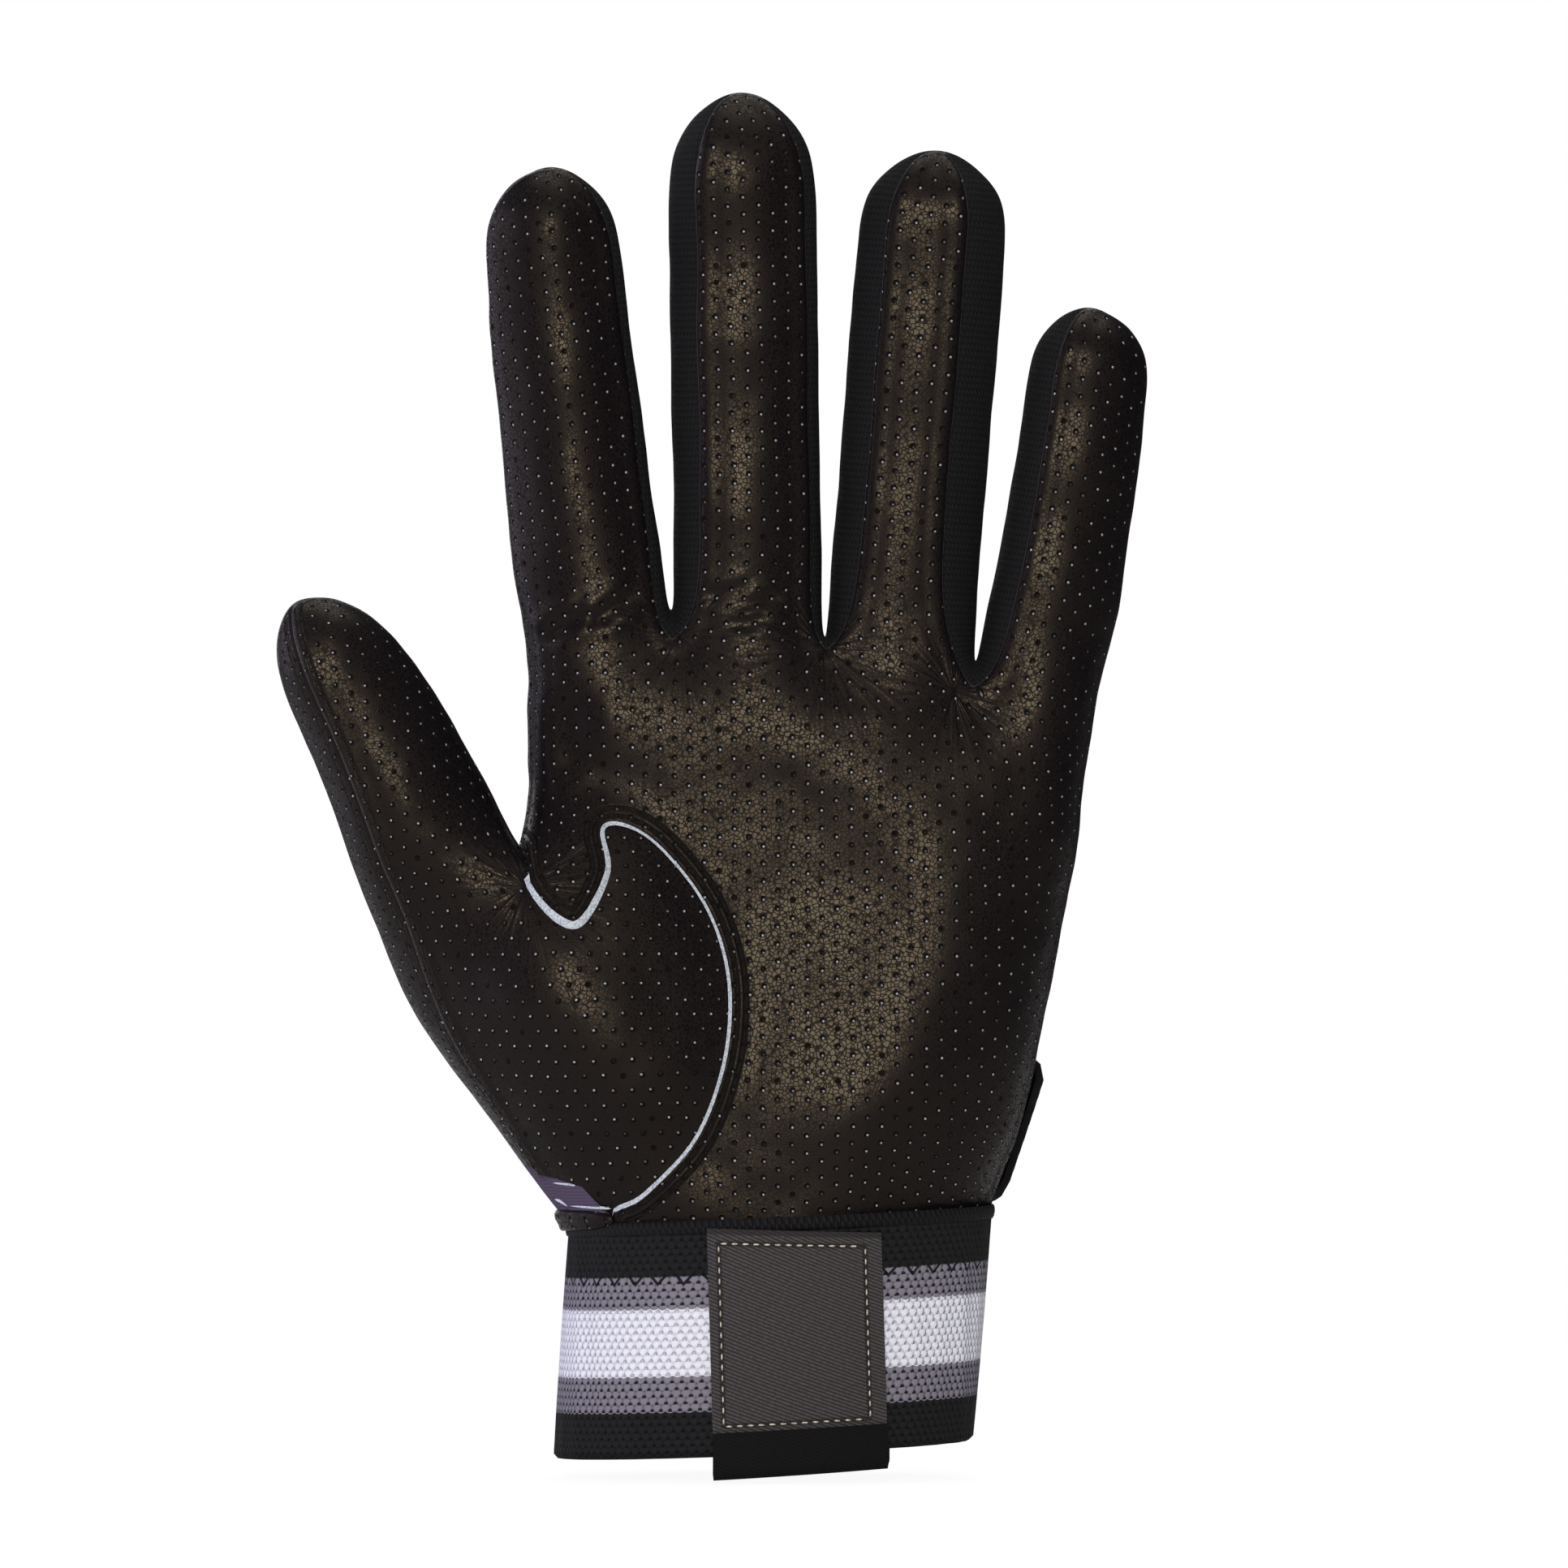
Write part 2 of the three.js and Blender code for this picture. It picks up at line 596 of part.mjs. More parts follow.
// Shells of the palm-side leather, the stretch back and the knitted gussets between the fingers
const ofPanel = (panel) => (face) => face.panel === panel;
const frontShell = shell(ofPanel('front'), -LEATHER_THICKNESS, 0);
const backShell = shell(ofPanel('back'), -KNIT_THICKNESS, 0);
const webs = [1, 2, 3].map((i) => shell(ofPanel(`gusset${i}`), -KNIT_THICKNESS, 0));
let frontRest = frontShell;
let backRest = backShell;

// Line midway between two neighbouring fingers, from their upper root bend to the lower tip
function dividingLine(i) {
  const pair = [FINGERS[fingerNames[i]], FINGERS[fingerNames[i + 1]]];
  const frames = pair.map(digitFrame);
  const bottom = Math.max(...pair.map((finger) => finger.bend));
  const top = Math.min(...frames.map(({ root, along, length }) => root.y + along.y * length));
  const edge = (k, height, side) => {
    const distance = (height - frames[k].root.y) / frames[k].along.y;
    const width = mix(pair[k].rootWidth, pair[k].tipWidth, distance / frames[k].length);
    return frames[k].centre(distance).x + (side * width) / 2;
  };
  const between = (height) => (edge(0, height, 1) + edge(1, height, -1)) / 2;
  return (height) => mix(between(bottom), between(top), (height - bottom) / (top - bottom));
}

const leftOfIndex = FINGERS.index.rootX - FINGERS.index.rootWidth;
const dividers = [() => leftOfIndex, ...[0, 1, 2].map(dividingLine), () => FAR];

// The space that a finger fills between two heights
function fingerSpace(i, low, high) {
  const [left, right] = [dividers[i], dividers[i + 1]];
  return throughPrism([[left(low), low], [right(low), low], [right(high), high], [left(high), high]]);
}

// Finger segments: leather, back and the gussets on the sides that face another finger
fingerNames.forEach((finger, i) => {
  const { bend, lengths } = FINGERS[finger];
  const midBend = bend + lengths[0];
  const tipBend = midBend + lengths[1];
  const segments = [
    { name: 'base', low: bend, high: midBend },
    { name: 'mid', low: midBend, high: tipBend },
    { name: 'tip', low: tipBend, high: FAR },
  ];
  const bothSides = [{ gusset: i, side: 'thumb_side' }, { gusset: i + 1, side: 'pinky_side' }];
  const sides = bothSides.filter(({ gusset }) => gusset > 0 && gusset < fingerNames.length);
  const onSide = (gusset) => (face) => face.panel === `gusset${gusset}` && face.region === finger;
  for (const segment of segments) {
    const [low, high] = [segment.low + BEND_GAP / 2, segment.high - BEND_GAP / 2];
    const space = fingerSpace(i, low, high);
    addHandPiece(`${finger}_${segment.name}_leather`, frontShell.intersect(space), 'leather');
    addHandPiece(`${finger}_${segment.name}_back`, backShell.intersect(space), 'back');
    for (const { gusset, side } of sides) {
      const strip = shell(onSide(gusset), -KNIT_THICKNESS, 0).intersect(slab(low, high));
      addHandPiece(`${finger}_${segment.name}_gusset_${side}`, strip, 'knit');
    }
  }
  const rootTop = bend - BEND_GAP / 2;
  frontRest = frontRest.subtract(fingerSpace(i, rootTop, FAR));
  backRest = backRest.subtract(fingerSpace(i, rootTop, FAR));
  for (const { gusset } of sides) {
    const thick = shell(onSide(gusset), -2 * KNIT_THICKNESS, 2 * SEAM_GAP, -SEAM_GAP);
    webs[gusset - 1] = webs[gusset - 1].subtract(thick.intersect(slab(rootTop, FAR)));
  }
});

// The space that the thumb fills between two distances along it
function thumbSpace(low, high) {
  const { root, along, side } = digitFrame(THUMB);
  const at = (distance, sideways) => {
    const place = root.clone().addScaledVector(along, distance).addScaledVector(side, sideways);
    return place.toArray();
  };
  const outside = -THUMB.rootWidth;
  const inside = THUMB.rootWidth / 2;
  return throughPrism([at(low, outside), at(low, inside), at(high, inside), at(high, outside)]);
}

// Thumb segments
const thumbTipBend = THUMB.bend + THUMB.lengths[0];
const pastThumb = 2 * digitFrame(THUMB).length;
const thumbSegments = [
  { name: 'base', low: THUMB.bend, high: thumbTipBend },
  { name: 'tip', low: thumbTipBend, high: pastThumb },
];
for (const { name, low, high } of thumbSegments) {
  const space = thumbSpace(low + BEND_GAP / 2, high - BEND_GAP / 2);
  addHandPiece(`thumb_${name}_leather`, frontShell.intersect(space), 'leather');
  addHandPiece(`thumb_${name}_back`, backShell.intersect(space), 'back');
}
frontRest = frontRest.subtract(thumbSpace(THUMB.bend - BEND_GAP / 2, pastThumb));
backRest = backRest.subtract(thumbSpace(THUMB.bend - BEND_GAP / 2, pastThumb));

// Webs of the gussets, which stay with the palm and keep clear of the panels where three meet
const clearance = (panel) => shell(ofPanel(panel), -LEATHER_THICKNESS - SEAM_GAP, SEAM_GAP, -SEAM_GAP / 6);
const frontClearance = clearance('front');
const backClearance = clearance('back');
['index_middle_web', 'middle_ring_web', 'ring_pinky_web'].forEach((name, i) => {
  addHandPiece(name, webs[i].subtract(frontClearance).subtract(backClearance), 'knit');
});

// Woven insert at the thumb side of the wrist, which the leather and the back are cut round
const wristFaces = (face) => face.region === 'wrist';
const insertLeft = INSERT_UPPER_EDGE[0][0];
const insertRight = INSERT_UPPER_EDGE.at(-1)[0];
const insertOutline = [...INSERT_UPPER_EDGE, [insertRight, -FAR], [insertLeft, -FAR]];
const insertSpace = (gap) => prism(grown(insertOutline, gap), -HALF_DEPTH, gap);
const insert = shell(wristFaces, -KNIT_THICKNESS, 0).intersect(insertSpace(-SEAM_GAP / 2));
addHandPiece('wrist_insert', insert, 'insert');
frontRest = frontRest.subtract(insertSpace(SEAM_GAP / 2));
backRest = backRest.subtract(insertSpace(SEAM_GAP / 2));
addHandPiece('back_panel', backRest, 'back');

// Palm leather and the thumb ball's panel, parted along their seam
const seamCurve = new THREE.SplineCurve(THUMB_BALL_SEAM.map(([x, z]) => new THREE.Vector2(x, z)));
const seam = seamCurve.getPoints(SEAM_STEPS).map((point) => point.toArray());
const [seamTopX] = seam[0];
const [seamFootX] = seam.at(-1);
const thumbBallOutline = [...seam, [seamFootX, -FAR], [-FAR, -FAR], [-FAR, FAR], [seamTopX, FAR]];
const thumbBallSpace = (gap) => throughPrism(grown(thumbBallOutline, gap));
addHandPiece('palm_leather', frontRest.subtract(thumbBallSpace(SEAM_GAP / 2)), 'leather');
addHandPiece('thumb_ball_leather', frontRest.intersect(thumbBallSpace(-SEAM_GAP / 2)), 'leather');

// Closure strap on the back of the wrist, with its hook-and-loop patches and its sewn end
function strapSpace(left, right, inset, depth) {
  const low = STRAP_LOW + inset;
  const high = STRAP_LOW + STRAP_WIDTH - inset;
  return prism([[left, low], [right, low], [right, high], [left, high]], depth, HALF_DEPTH);
}

const loopLow = SEAM_GAP;
const hookLow = loopLow + FASTENER_THICKNESS + SEAM_GAP;
const strapLow = hookLow + FASTENER_THICKNESS + SEAM_GAP;
const strapHigh = strapLow + STRAP_THICKNESS;
const patch = (low, length) => {
  const space = strapSpace(FASTENER_END_X - length, FASTENER_END_X, FASTENER_INSET, 0);
  return shell(wristFaces, low, low + FASTENER_THICKNESS).intersect(space);
};
addHandPiece('loop_patch', patch(loopLow, LOOP_LENGTH), 'fastener');
addHandPiece('hook_patch', patch(hookLow, HOOK_LENGTH), 'fastener');
const freeSpace = strapSpace(STRAP_BEND_X, FAR, 0, STRAP_END_DEPTH);
addHandPiece('closure_strap', shell(wristFaces, strapLow, strapHigh).intersect(freeSpace), 'strap');
const sewnEdge = STRAP_BEND_X - SEAM_GAP;
const sewnSpace = strapSpace(sewnEdge - STRAP_SEWN_LENGTH, sewnEdge, 0, 0);
addHandPiece('strap_sewn_end', shell(wristFaces, loopLow, strapHigh).intersect(sewnSpace), 'strap');

// Knitted wrist elastic: four rings of points joined into one closed band
const cuffCentre = (z) => mix(CUFF_MOUTH_CENTRE, CUFF_TOP_CENTRE, z / CUFF_HEIGHT);
const cuffHalfWidth = (z) => mix(CUFF_MOUTH_WIDTH, CUFF_TOP_WIDTH, z / CUFF_HEIGHT) / 2;

function cuffRing(z, inset) {
  return [...Array(CUFF_SIDES).keys()].map((i) => {
    const angle = (2 * Math.PI * i) / CUFF_SIDES;
    const x = cuffCentre(z) + (cuffHalfWidth(z) - inset) * Math.cos(angle);
    return new THREE.Vector3(x, (CUFF_DEPTH / 2 - inset) * Math.sin(angle), z);
  });
}

function wristElastic() {
  const corners = [[0, 0], [CUFF_HEIGHT, 0], [CUFF_HEIGHT, CUFF_WALL], [0, CUFF_WALL]];
  const rings = corners.map(([z, inset]) => cuffRing(z, inset));
  const triangles = [];
  rings.forEach((_, r) => {
    const next = (r + 1) % rings.length;
    for (let i = 0; i < CUFF_SIDES; i += 1) {
      const j = (i + 1) % CUFF_SIDES;
      const [a, b] = [r * CUFF_SIDES + i, r * CUFF_SIDES + j];
      const [c, d] = [next * CUFF_SIDES + j, next * CUFF_SIDES + i];
      triangles.push([a, b, c], [a, c, d]);
    }
  });
  return solidFrom(rings.flat(), triangles);
}

addPiece(cuffGroup, 'wrist_elastic', wristElastic(), 'elastic');

// Pull tab: one strip, sewn to the cuff's front and folded under its edge to the inside
function cuffFront(x, z) {
  const height = Math.max(0, z);
  const share = (x - cuffCentre(height)) / cuffHalfWidth(height);
  return (-CUFF_DEPTH / 2) * Math.sqrt(1 - share * share);
}

function pullTab() {
  const near = SEAM_GAP;
  const far = SEAM_GAP + TAB_THICKNESS;
  const inside = -CUFF_WALL - SEAM_GAP;
  const deep = inside - TAB_THICKNESS;
  const top = CUFF_HEIGHT - TAB_TOP_SETBACK;
  const fold = TAB_THICKNESS - TAB_DROP;
  const profile = [
    [far, top], [far, -TAB_DROP], [deep, -TAB_DROP], [deep, TAB_RETURN],
    [inside, TAB_RETURN], [inside, fold], [near, fold], [near, top],
  ];
  const sections = [...Array(TAB_STEPS + 1).keys()].map((i) => {
    const x = TAB_CENTRE + TAB_WIDTH * (i / TAB_STEPS - 0.5);
    return profile.map(([out, z]) => new THREE.Vector3(x, cuffFront(x, z) - out, z));
  });
  const count = profile.length;
  const triangles = [];
  for (let s = 0; s < TAB_STEPS; s += 1) {
    for (let i = 0; i < count; i += 1) {
      const [a, b] = [s * count + i, s * count + ((i + 1) % count)];
      triangles.push([a, b, b + count], [a, b + count, a + count]);
    }
  }
  const flat = profile.map(([out, z]) => new THREE.Vector2(out, z));
  const last = TAB_STEPS * count;
  for (const corners of THREE.ShapeUtils.triangulateShape(flat, [])) {
    const clockwise = THREE.ShapeUtils.isClockWise(corners.map((i) => flat[i]));
    const [a, b, c] = clockwise ? corners : corners.toReversed();
    triangles.push([c, b, a], [last + a, last + b, last + c]);
  }
  return solidFrom(sections.flat(), triangles);
}

addPiece(cuffGroup, 'pull_tab', pullTab(), 'label');

export default group;
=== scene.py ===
# Looks of a batting glove for the left hand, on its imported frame
import math

import bmesh
import bpy
import numpy as np
from mathutils import Matrix, Vector, noise
from mathutils.bvhtree import BVHTree
from mathutils.kdtree import KDTree


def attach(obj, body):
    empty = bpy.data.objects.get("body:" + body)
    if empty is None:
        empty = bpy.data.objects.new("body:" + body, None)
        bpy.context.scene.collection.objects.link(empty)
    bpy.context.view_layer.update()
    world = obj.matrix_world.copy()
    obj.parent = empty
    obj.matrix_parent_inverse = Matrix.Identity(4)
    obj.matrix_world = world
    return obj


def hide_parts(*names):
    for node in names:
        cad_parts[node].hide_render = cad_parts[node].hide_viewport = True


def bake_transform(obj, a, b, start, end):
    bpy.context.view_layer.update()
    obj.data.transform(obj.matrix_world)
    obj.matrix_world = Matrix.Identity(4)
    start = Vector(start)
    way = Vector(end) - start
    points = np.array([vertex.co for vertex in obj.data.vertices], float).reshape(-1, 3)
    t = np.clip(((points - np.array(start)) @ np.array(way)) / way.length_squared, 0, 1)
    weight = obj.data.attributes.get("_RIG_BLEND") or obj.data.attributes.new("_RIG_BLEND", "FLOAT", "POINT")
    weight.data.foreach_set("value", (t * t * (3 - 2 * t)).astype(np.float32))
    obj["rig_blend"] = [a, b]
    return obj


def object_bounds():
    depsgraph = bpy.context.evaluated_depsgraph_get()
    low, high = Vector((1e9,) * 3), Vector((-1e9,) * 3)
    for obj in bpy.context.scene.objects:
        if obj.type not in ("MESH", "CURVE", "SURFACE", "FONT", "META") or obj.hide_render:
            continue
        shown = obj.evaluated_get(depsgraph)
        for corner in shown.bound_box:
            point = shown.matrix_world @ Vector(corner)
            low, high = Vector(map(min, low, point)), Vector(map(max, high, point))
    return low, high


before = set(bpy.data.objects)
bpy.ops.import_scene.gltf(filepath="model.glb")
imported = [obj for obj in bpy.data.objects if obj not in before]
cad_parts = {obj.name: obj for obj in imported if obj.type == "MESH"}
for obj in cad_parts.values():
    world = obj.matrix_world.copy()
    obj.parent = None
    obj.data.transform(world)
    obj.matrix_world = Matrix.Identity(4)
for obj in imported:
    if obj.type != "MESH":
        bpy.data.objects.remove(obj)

cad_box = [list(corner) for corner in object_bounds()]

# Lengths are in millimetres until a piece is finished, which puts it in metres
METRES = 0.001


# Camera, at the photograph's angle
CAMERA_PLACE = (0.00339, -2.0, 0.1094)
CAMERA_SENSOR = 36
CAMERA_LENS = 280.6
CAMERA_REACH = 20


def add_camera():
    lens = bpy.data.cameras.new("camera")
    lens.sensor_width = CAMERA_SENSOR
    lens.lens = CAMERA_LENS
    lens.clip_end = CAMERA_REACH
    camera = bpy.data.objects.new("camera", lens)
    camera.location = CAMERA_PLACE
    camera.rotation_euler = (math.pi / 2, 0, 0)
    bpy.context.collection.objects.link(camera)
    bpy.context.scene.camera = camera


# Node building: a value takes part in sums, and a finish makes every other node
class Value:
    """A socket of a finish; sums on it add Math nodes"""

    def __init__(self, finish, socket):
        self.finish = finish
        self.socket = socket

    def math(self, operation, *others):
        return self.finish.math(operation, self, *others)

    def __add__(self, other):
        return self.finish.math("ADD", self, other)

    def __radd__(self, other):
        return self.finish.math("ADD", other, self)

    def __sub__(self, other):
        return self.finish.math("SUBTRACT", self, other)

    def __rsub__(self, other):
        return self.finish.math("SUBTRACT", other, self)

    def __mul__(self, other):
        return self.finish.math("MULTIPLY", self, other)

    def __rmul__(self, other):
        return self.finish.math("MULTIPLY", other, self)

    def __truediv__(self, other):
        return self.finish.math("DIVIDE", self, other)

    def __abs__(self):
        return self.finish.math("ABSOLUTE", self)

    def between(self, low, high):
        """0 up to low and 1 from high, with a soft step; low may be the larger"""
        settings = {"interpolation_type": "SMOOTHSTEP"}
        sockets = {"Value": self, "From Min": low, "From Max": high}
        return self.finish.node("ShaderNodeMapRange", settings, sockets)

    def fold(self, pitch):
        """Distance to the nearest multiple of the pitch, with its sign"""
        return self - (self / pitch).math("ROUND") * pitch


class Finish:
    """A material and the nodes of its surface"""

    def __init__(self, name, **constants):
        self.material = bpy.data.materials.new(name)
        self.material.use_nodes = True
        self.tree = self.material.node_tree
        self.shader = self.tree.nodes["Principled BSDF"]
        for socket, value in constants.items():
            self.shader.inputs[socket.replace("_", " ")].default_value = value

    def node(self, kind, settings=None, sockets=None, out=0):
        made = self.tree.nodes.new(kind)
        for key, value in (settings or {}).items():
            setattr(made, key, value)
        for key, value in (sockets or {}).items():
            self.feed(made.inputs[key], value)
        return Value(self, made.outputs[out])

    def feed(self, socket, value):
        if isinstance(value, Value):
            self.tree.links.new(value.socket, socket)
        else:
            socket.default_value = value

    def math(self, operation, *values):
        return self.node("ShaderNodeMath", {"operation": operation}, dict(enumerate(values)))

    def colour(self, factor, first, second):
        settings = {"data_type": "RGBA", "clamp_factor": True}
        return self.node("ShaderNodeMix", settings, {0: factor, 6: first, 7: second}, 2)

    def flat(self):
        """Coordinates on the flat sheet: across and along, in millimetres"""
        return self.node("ShaderNodeUVMap", {"uv_map": "flat"})

    def across_and_along(self):
        return self.parts(self.flat())[:2]

    def parts(self, vector):
        split = self.node("ShaderNodeSeparateXYZ", {}, {0: vector})
        outputs = split.socket.node.outputs
        return [Value(self, outputs[i]) for i in range(3)]

    def joined(self, x, y, z=0.0):
        return self.node("ShaderNodeCombineXYZ", {}, {0: x, 1: y, 2: z})

    def place(self):
        """Place in the frame, in millimetres"""
        coordinates = self.node("ShaderNodeTexCoord", {}, {}, 3)
        settings = {"operation": "SCALE"}
        return self.node("ShaderNodeVectorMath", settings, {0: coordinates, "Scale": 1 / METRES})

    def attribute(self, name):
        return self.node("ShaderNodeAttribute", {"attribute_name": name}, {}, 2)

    def cloud(self, vector, scale, detail=2.0, rough=0.5):
        sockets = {"Vector": vector, "Scale": scale, "Detail": detail, "Roughness": rough}
        return self.node("ShaderNodeTexNoise", {}, sockets)

    def finish(self, base=None, rough=None, height=None):
        if base is not None:
            self.feed(self.shader.inputs["Base Color"], base)
        if rough is not None:
            self.feed(self.shader.inputs["Roughness"], rough)
        if height is not None:
            sockets = {"Strength": 1.0, "Distance": METRES, "Height": height}
            self.feed(self.shader.inputs["Normal"], self.node("ShaderNodeBump", {}, sockets))
        return self.material


def shade(red, green, blue):
    """A colour as it is read on a screen, from 0 to 255"""

    def level(value):
        c = value / 255
        return c / 12.92 if c <= 0.04045 else ((c + 0.055) / 1.055) ** 2.4

    return (level(red), level(green), level(blue), 1.0)


# Leather: grain, perforations with pale backing behind them, edges and stitch rows; painted shade darkens
# the grain's cracks, the holes and the seam grooves, and the backing is lit at one side of each hole as
# painted light
LEATHER_TINT = (1.0, 0.82, 0.56, 1.0)
HOLE_COLUMNS = 2.4
HOLE_PITCH = 2.85
HOLE_REACH = (0.5, 0.34)
RIM_REACH = (0.7, 0.4)
SPECK_REACH = (0.24, 0.13)
SPECK_SHIFT = (0.1, 0.16)
STITCH_PITCH = 2.5
EDGE_ROW = 1.5
SEAM_ROWS = (1.5, 2.9)

# Fans of fine creases: place across and up, reach, and waves in a turn
FANS = [
    (-38.6, 93.0, 20, 34), (-13.7, 133.5, 24, 30), (10.0, 131.6, 24, 30), (31.1, 124.6, 18, 26),
    (37.2, 39.6, 16, 40),
]


def stitch_row(distance, run, row, width=0.32):
    """Groove of a row of stitches, and the thread in it, at a distance from an edge"""
    groove = abs(distance - row).between(width * 1.9, 0.0)
    thread = abs(distance - row).between(width, width * 0.3)
    dash = abs(run.fold(STITCH_PITCH)).between(1.1, 0.85)
    return groove, thread * dash


def perforations(finish, across, along):
    """Distance to the nearest hole of a lattice with every other column shifted"""
    near = finish.math("POWER", abs(across.fold(2 * HOLE_COLUMNS)), 2.0)
    near = near + finish.math("POWER", abs(along.fold(HOLE_PITCH)), 2.0)
    shifted = finish.math("POWER", abs((across - HOLE_COLUMNS).fold(2 * HOLE_COLUMNS)), 2.0)
    shifted = shifted + finish.math("POWER", abs((along - HOLE_PITCH / 2).fold(HOLE_PITCH)), 2.0)
    return near.math("MINIMUM", shifted).math("SQRT")


def leather(name, turned=False, seam=False, edges=True):
    """Black leather, with painted shade in its cracks, holes and seam grooves; turned lays the holes across,
    seam and edges add rows of stitches
    """
    finish = Finish(name, Specular_IOR_Level=0.17, Specular_Tint=LEATHER_TINT)
    flat = finish.flat()
    across, along, _ = finish.parts(flat)
    length = along
    if turned:
        across, along = along, across
    sway = finish.cloud(flat, 0.11, 1.0)
    drift = finish.cloud(flat, 0.017, 1.0)
    across = across + (sway - 0.5) * 0.9
    along = along + (drift - 0.5) * 6.0
    patches = finish.cloud(flat, 0.05, 3.0, 0.6)
    crackle = finish.node(
        "ShaderNodeTexVoronoi", {"feature": "DISTANCE_TO_EDGE"}, {"Vector": flat, "Scale": 1.4}
    )
    crease = crackle.between(0.15, 0.02)
    pores = finish.cloud(flat, 4.5, 2.0, 0.6)
    height = 0.003 * pores - 0.006 * crease
    base = finish.colour(patches.between(0.35, 0.7), shade(12, 9, 15), shade(15, 12, 17))
    # Painted shade: the grain's cracks are darker in the base colour
    base = finish.colour(crease * 0.6, base, shade(7, 6, 7))
    reach = perforations(finish, across, along)
    hole = reach.between(*HOLE_REACH)
    rim = reach.between(*RIM_REACH)
    speck_right, speck_down = SPECK_SHIFT
    speck = perforations(finish, across - speck_right, along + speck_down).between(*SPECK_REACH)
    lit = finish.cloud(flat, 0.5, 1.0).between(0.34, 0.66)
    # Painted shade inside the holes; the speck beside each is the pale backing's own colour, placed at the
    # side where light falls in as painted light
    base = finish.colour(hole, base, shade(4, 4, 5))
    base = finish.colour(speck * lit, base, shade(150, 154, 164))
    height = height + rim * 0.015 - hole * 0.3
    if edges:
        groove, thread = stitch_row(finish.attribute("sewn"), length, EDGE_ROW)
        height = height - groove * 0.28 + thread * 0.3
        base = finish.colour(thread * 0.8, base, shade(20, 19, 20))
        edge = finish.attribute("edge")
        base = finish.colour(edge.between(0.22, 0.08) * 0.4, base, shade(92, 88, 88))
    sewn = 0.0
    if seam:
        step = finish.attribute("step")
        run = finish.attribute("run")
        for row in SEAM_ROWS:
            groove, thread = stitch_row(step, run, row)
            height = height - groove * 0.4 + thread * 0.36
            # Painted shade in the grooves of the seam's stitch rows
            base = finish.colour(groove * 0.6, base, shade(4, 4, 5))
            base = finish.colour(thread * 0.8, base, shade(17, 16, 17))
            sewn = groove + sewn
    x, _, z = finish.parts(finish.place())
    for fan_x, fan_z, radius, count in FANS:
        out_x, out_z = x - fan_x, z - fan_z
        distance = (out_x * out_x + out_z * out_z).math("SQRT")
        turn = out_x.math("ARCTAN2", out_z)
        ripple = finish.cloud(finish.joined(turn * (count / 6.0), distance * 0.05), 1.0, 2.0)
        height = height + (ripple - 0.5) * distance.between(radius, 2.0) * 0.4
    rough = 0.3 + patches * 0.08 + crease * 0.32 + hole * 0.5 + sewn * 0.4
    return finish.finish(base, rough, height)


def raw_edge():
    """Pale cut edge of the leather"""
    finish = Finish("raw_leather_edge", Roughness=0.9)
    place = finish.place()
    fuzz = finish.cloud(place, 2.6, 3.0, 0.7)
    base = finish.colour(fuzz.between(0.3, 0.62), shade(128, 136, 146), shade(196, 203, 212))
    return finish.finish(base, None, fuzz * 0.12)


def knit(name, dark, light, wale, course, depth, slant=0.0, shine=0.15):
    """Knitted cloth: staggered loops of the given width and height, with painted shade in the gaps between
    them
    """
    finish = Finish(name, Roughness=0.85, Specular_IOR_Level=shine)
    across, along = finish.across_and_along()
    across = across + along * slant
    loop = abs(across.fold(wale)) / wale
    row = abs((along + loop * wale * 0.9).fold(course)) / course
    gap = row.between(0.3, 0.5)
    fluff = finish.cloud(finish.flat(), 3.0, 3.0, 0.7)
    # Painted shade: the gaps between the loops take the dark colour
    base = finish.colour(gap * 0.85, light, dark)
    base = finish.colour(fluff.between(0.6, 0.75) * 0.35, base, dark)
    height = (0.5 - row) * depth - loop * depth * 0.7 + fluff * depth * 0.5
    return finish.finish(base, None, height)


# Hand: the same cage of the worn shape as the solids have
CUFF_HEIGHT = 38.0
CUFF_WALL = 1.6
CUFF_DEPTH = 40.0
CUFF_TOP_WIDTH = 69.4
CUFF_TOP_CENTRE = 2.2
CUFF_MOUTH_WIDTH = 68.4
CUFF_MOUTH_CENTRE = -0.6
CUFF_RISE = (-0.9, 2.0)
SEAM_GAP = 0.3
SHIFT = -CUFF_MOUTH_CENTRE
LIFT = CUFF_HEIGHT + SEAM_GAP

# Palm rows up to the thumb's web: height, edges, depths in front and behind, spread of the columns
PALM_ROWS = [
    (0, CUFF_TOP_CENTRE - CUFF_TOP_WIDTH / 2, CUFF_TOP_CENTRE + CUFF_TOP_WIDTH / 2, 20, 20, 0),
    (12, -42, 40.6, 19, 17.5, 0.25),
    (24, -49.6, 43.4, 18, 16, 0.5),
    (38, -58.4, 45.8, 16.5, 15, 0.8),
    (54, -63.6, 49.2, 15, 14, 1),
]
COLUMN_SHARES = [0, 0.045, 0.13, 0.225, 0.325, 0.432, 0.543, 0.652, 0.757, 0.855, 0.935, 0.985, 1]
THUMB_BASE_TILT = [-7.5, -6, -2, 1.5]
WEB_POINT = (-39.2, -1.5, 54.7)
UPPER_ROWS = [(0.4, 13, 13), (0.72, 11.8, 12)]
PALM_SWELLS = [(-38, 31.7, 19, 24, 5), (28, 19.7, 17, 18, 2.5), (4, 51.7, 19, 22, -3)]
FINGER_GAPS = [0.9, 1.4, 0.3]
CROTCH_DROPS = [7.7, 7, 10.6]
WEB_DROPS = [1.4, 7.6, 5]
KNUCKLE_DROP = 7.5
KNUCKLE_DEPTHS = (10.4, 10.6)
CROTCH_DEPTHS = (7, 7.5)
EDGE_DROP = 9
EDGE_SHARE = 0.36
EDGE_FULLNESS = 0.74
ROOT_DROP = 4
INDEX_ROOT_X = -28.0


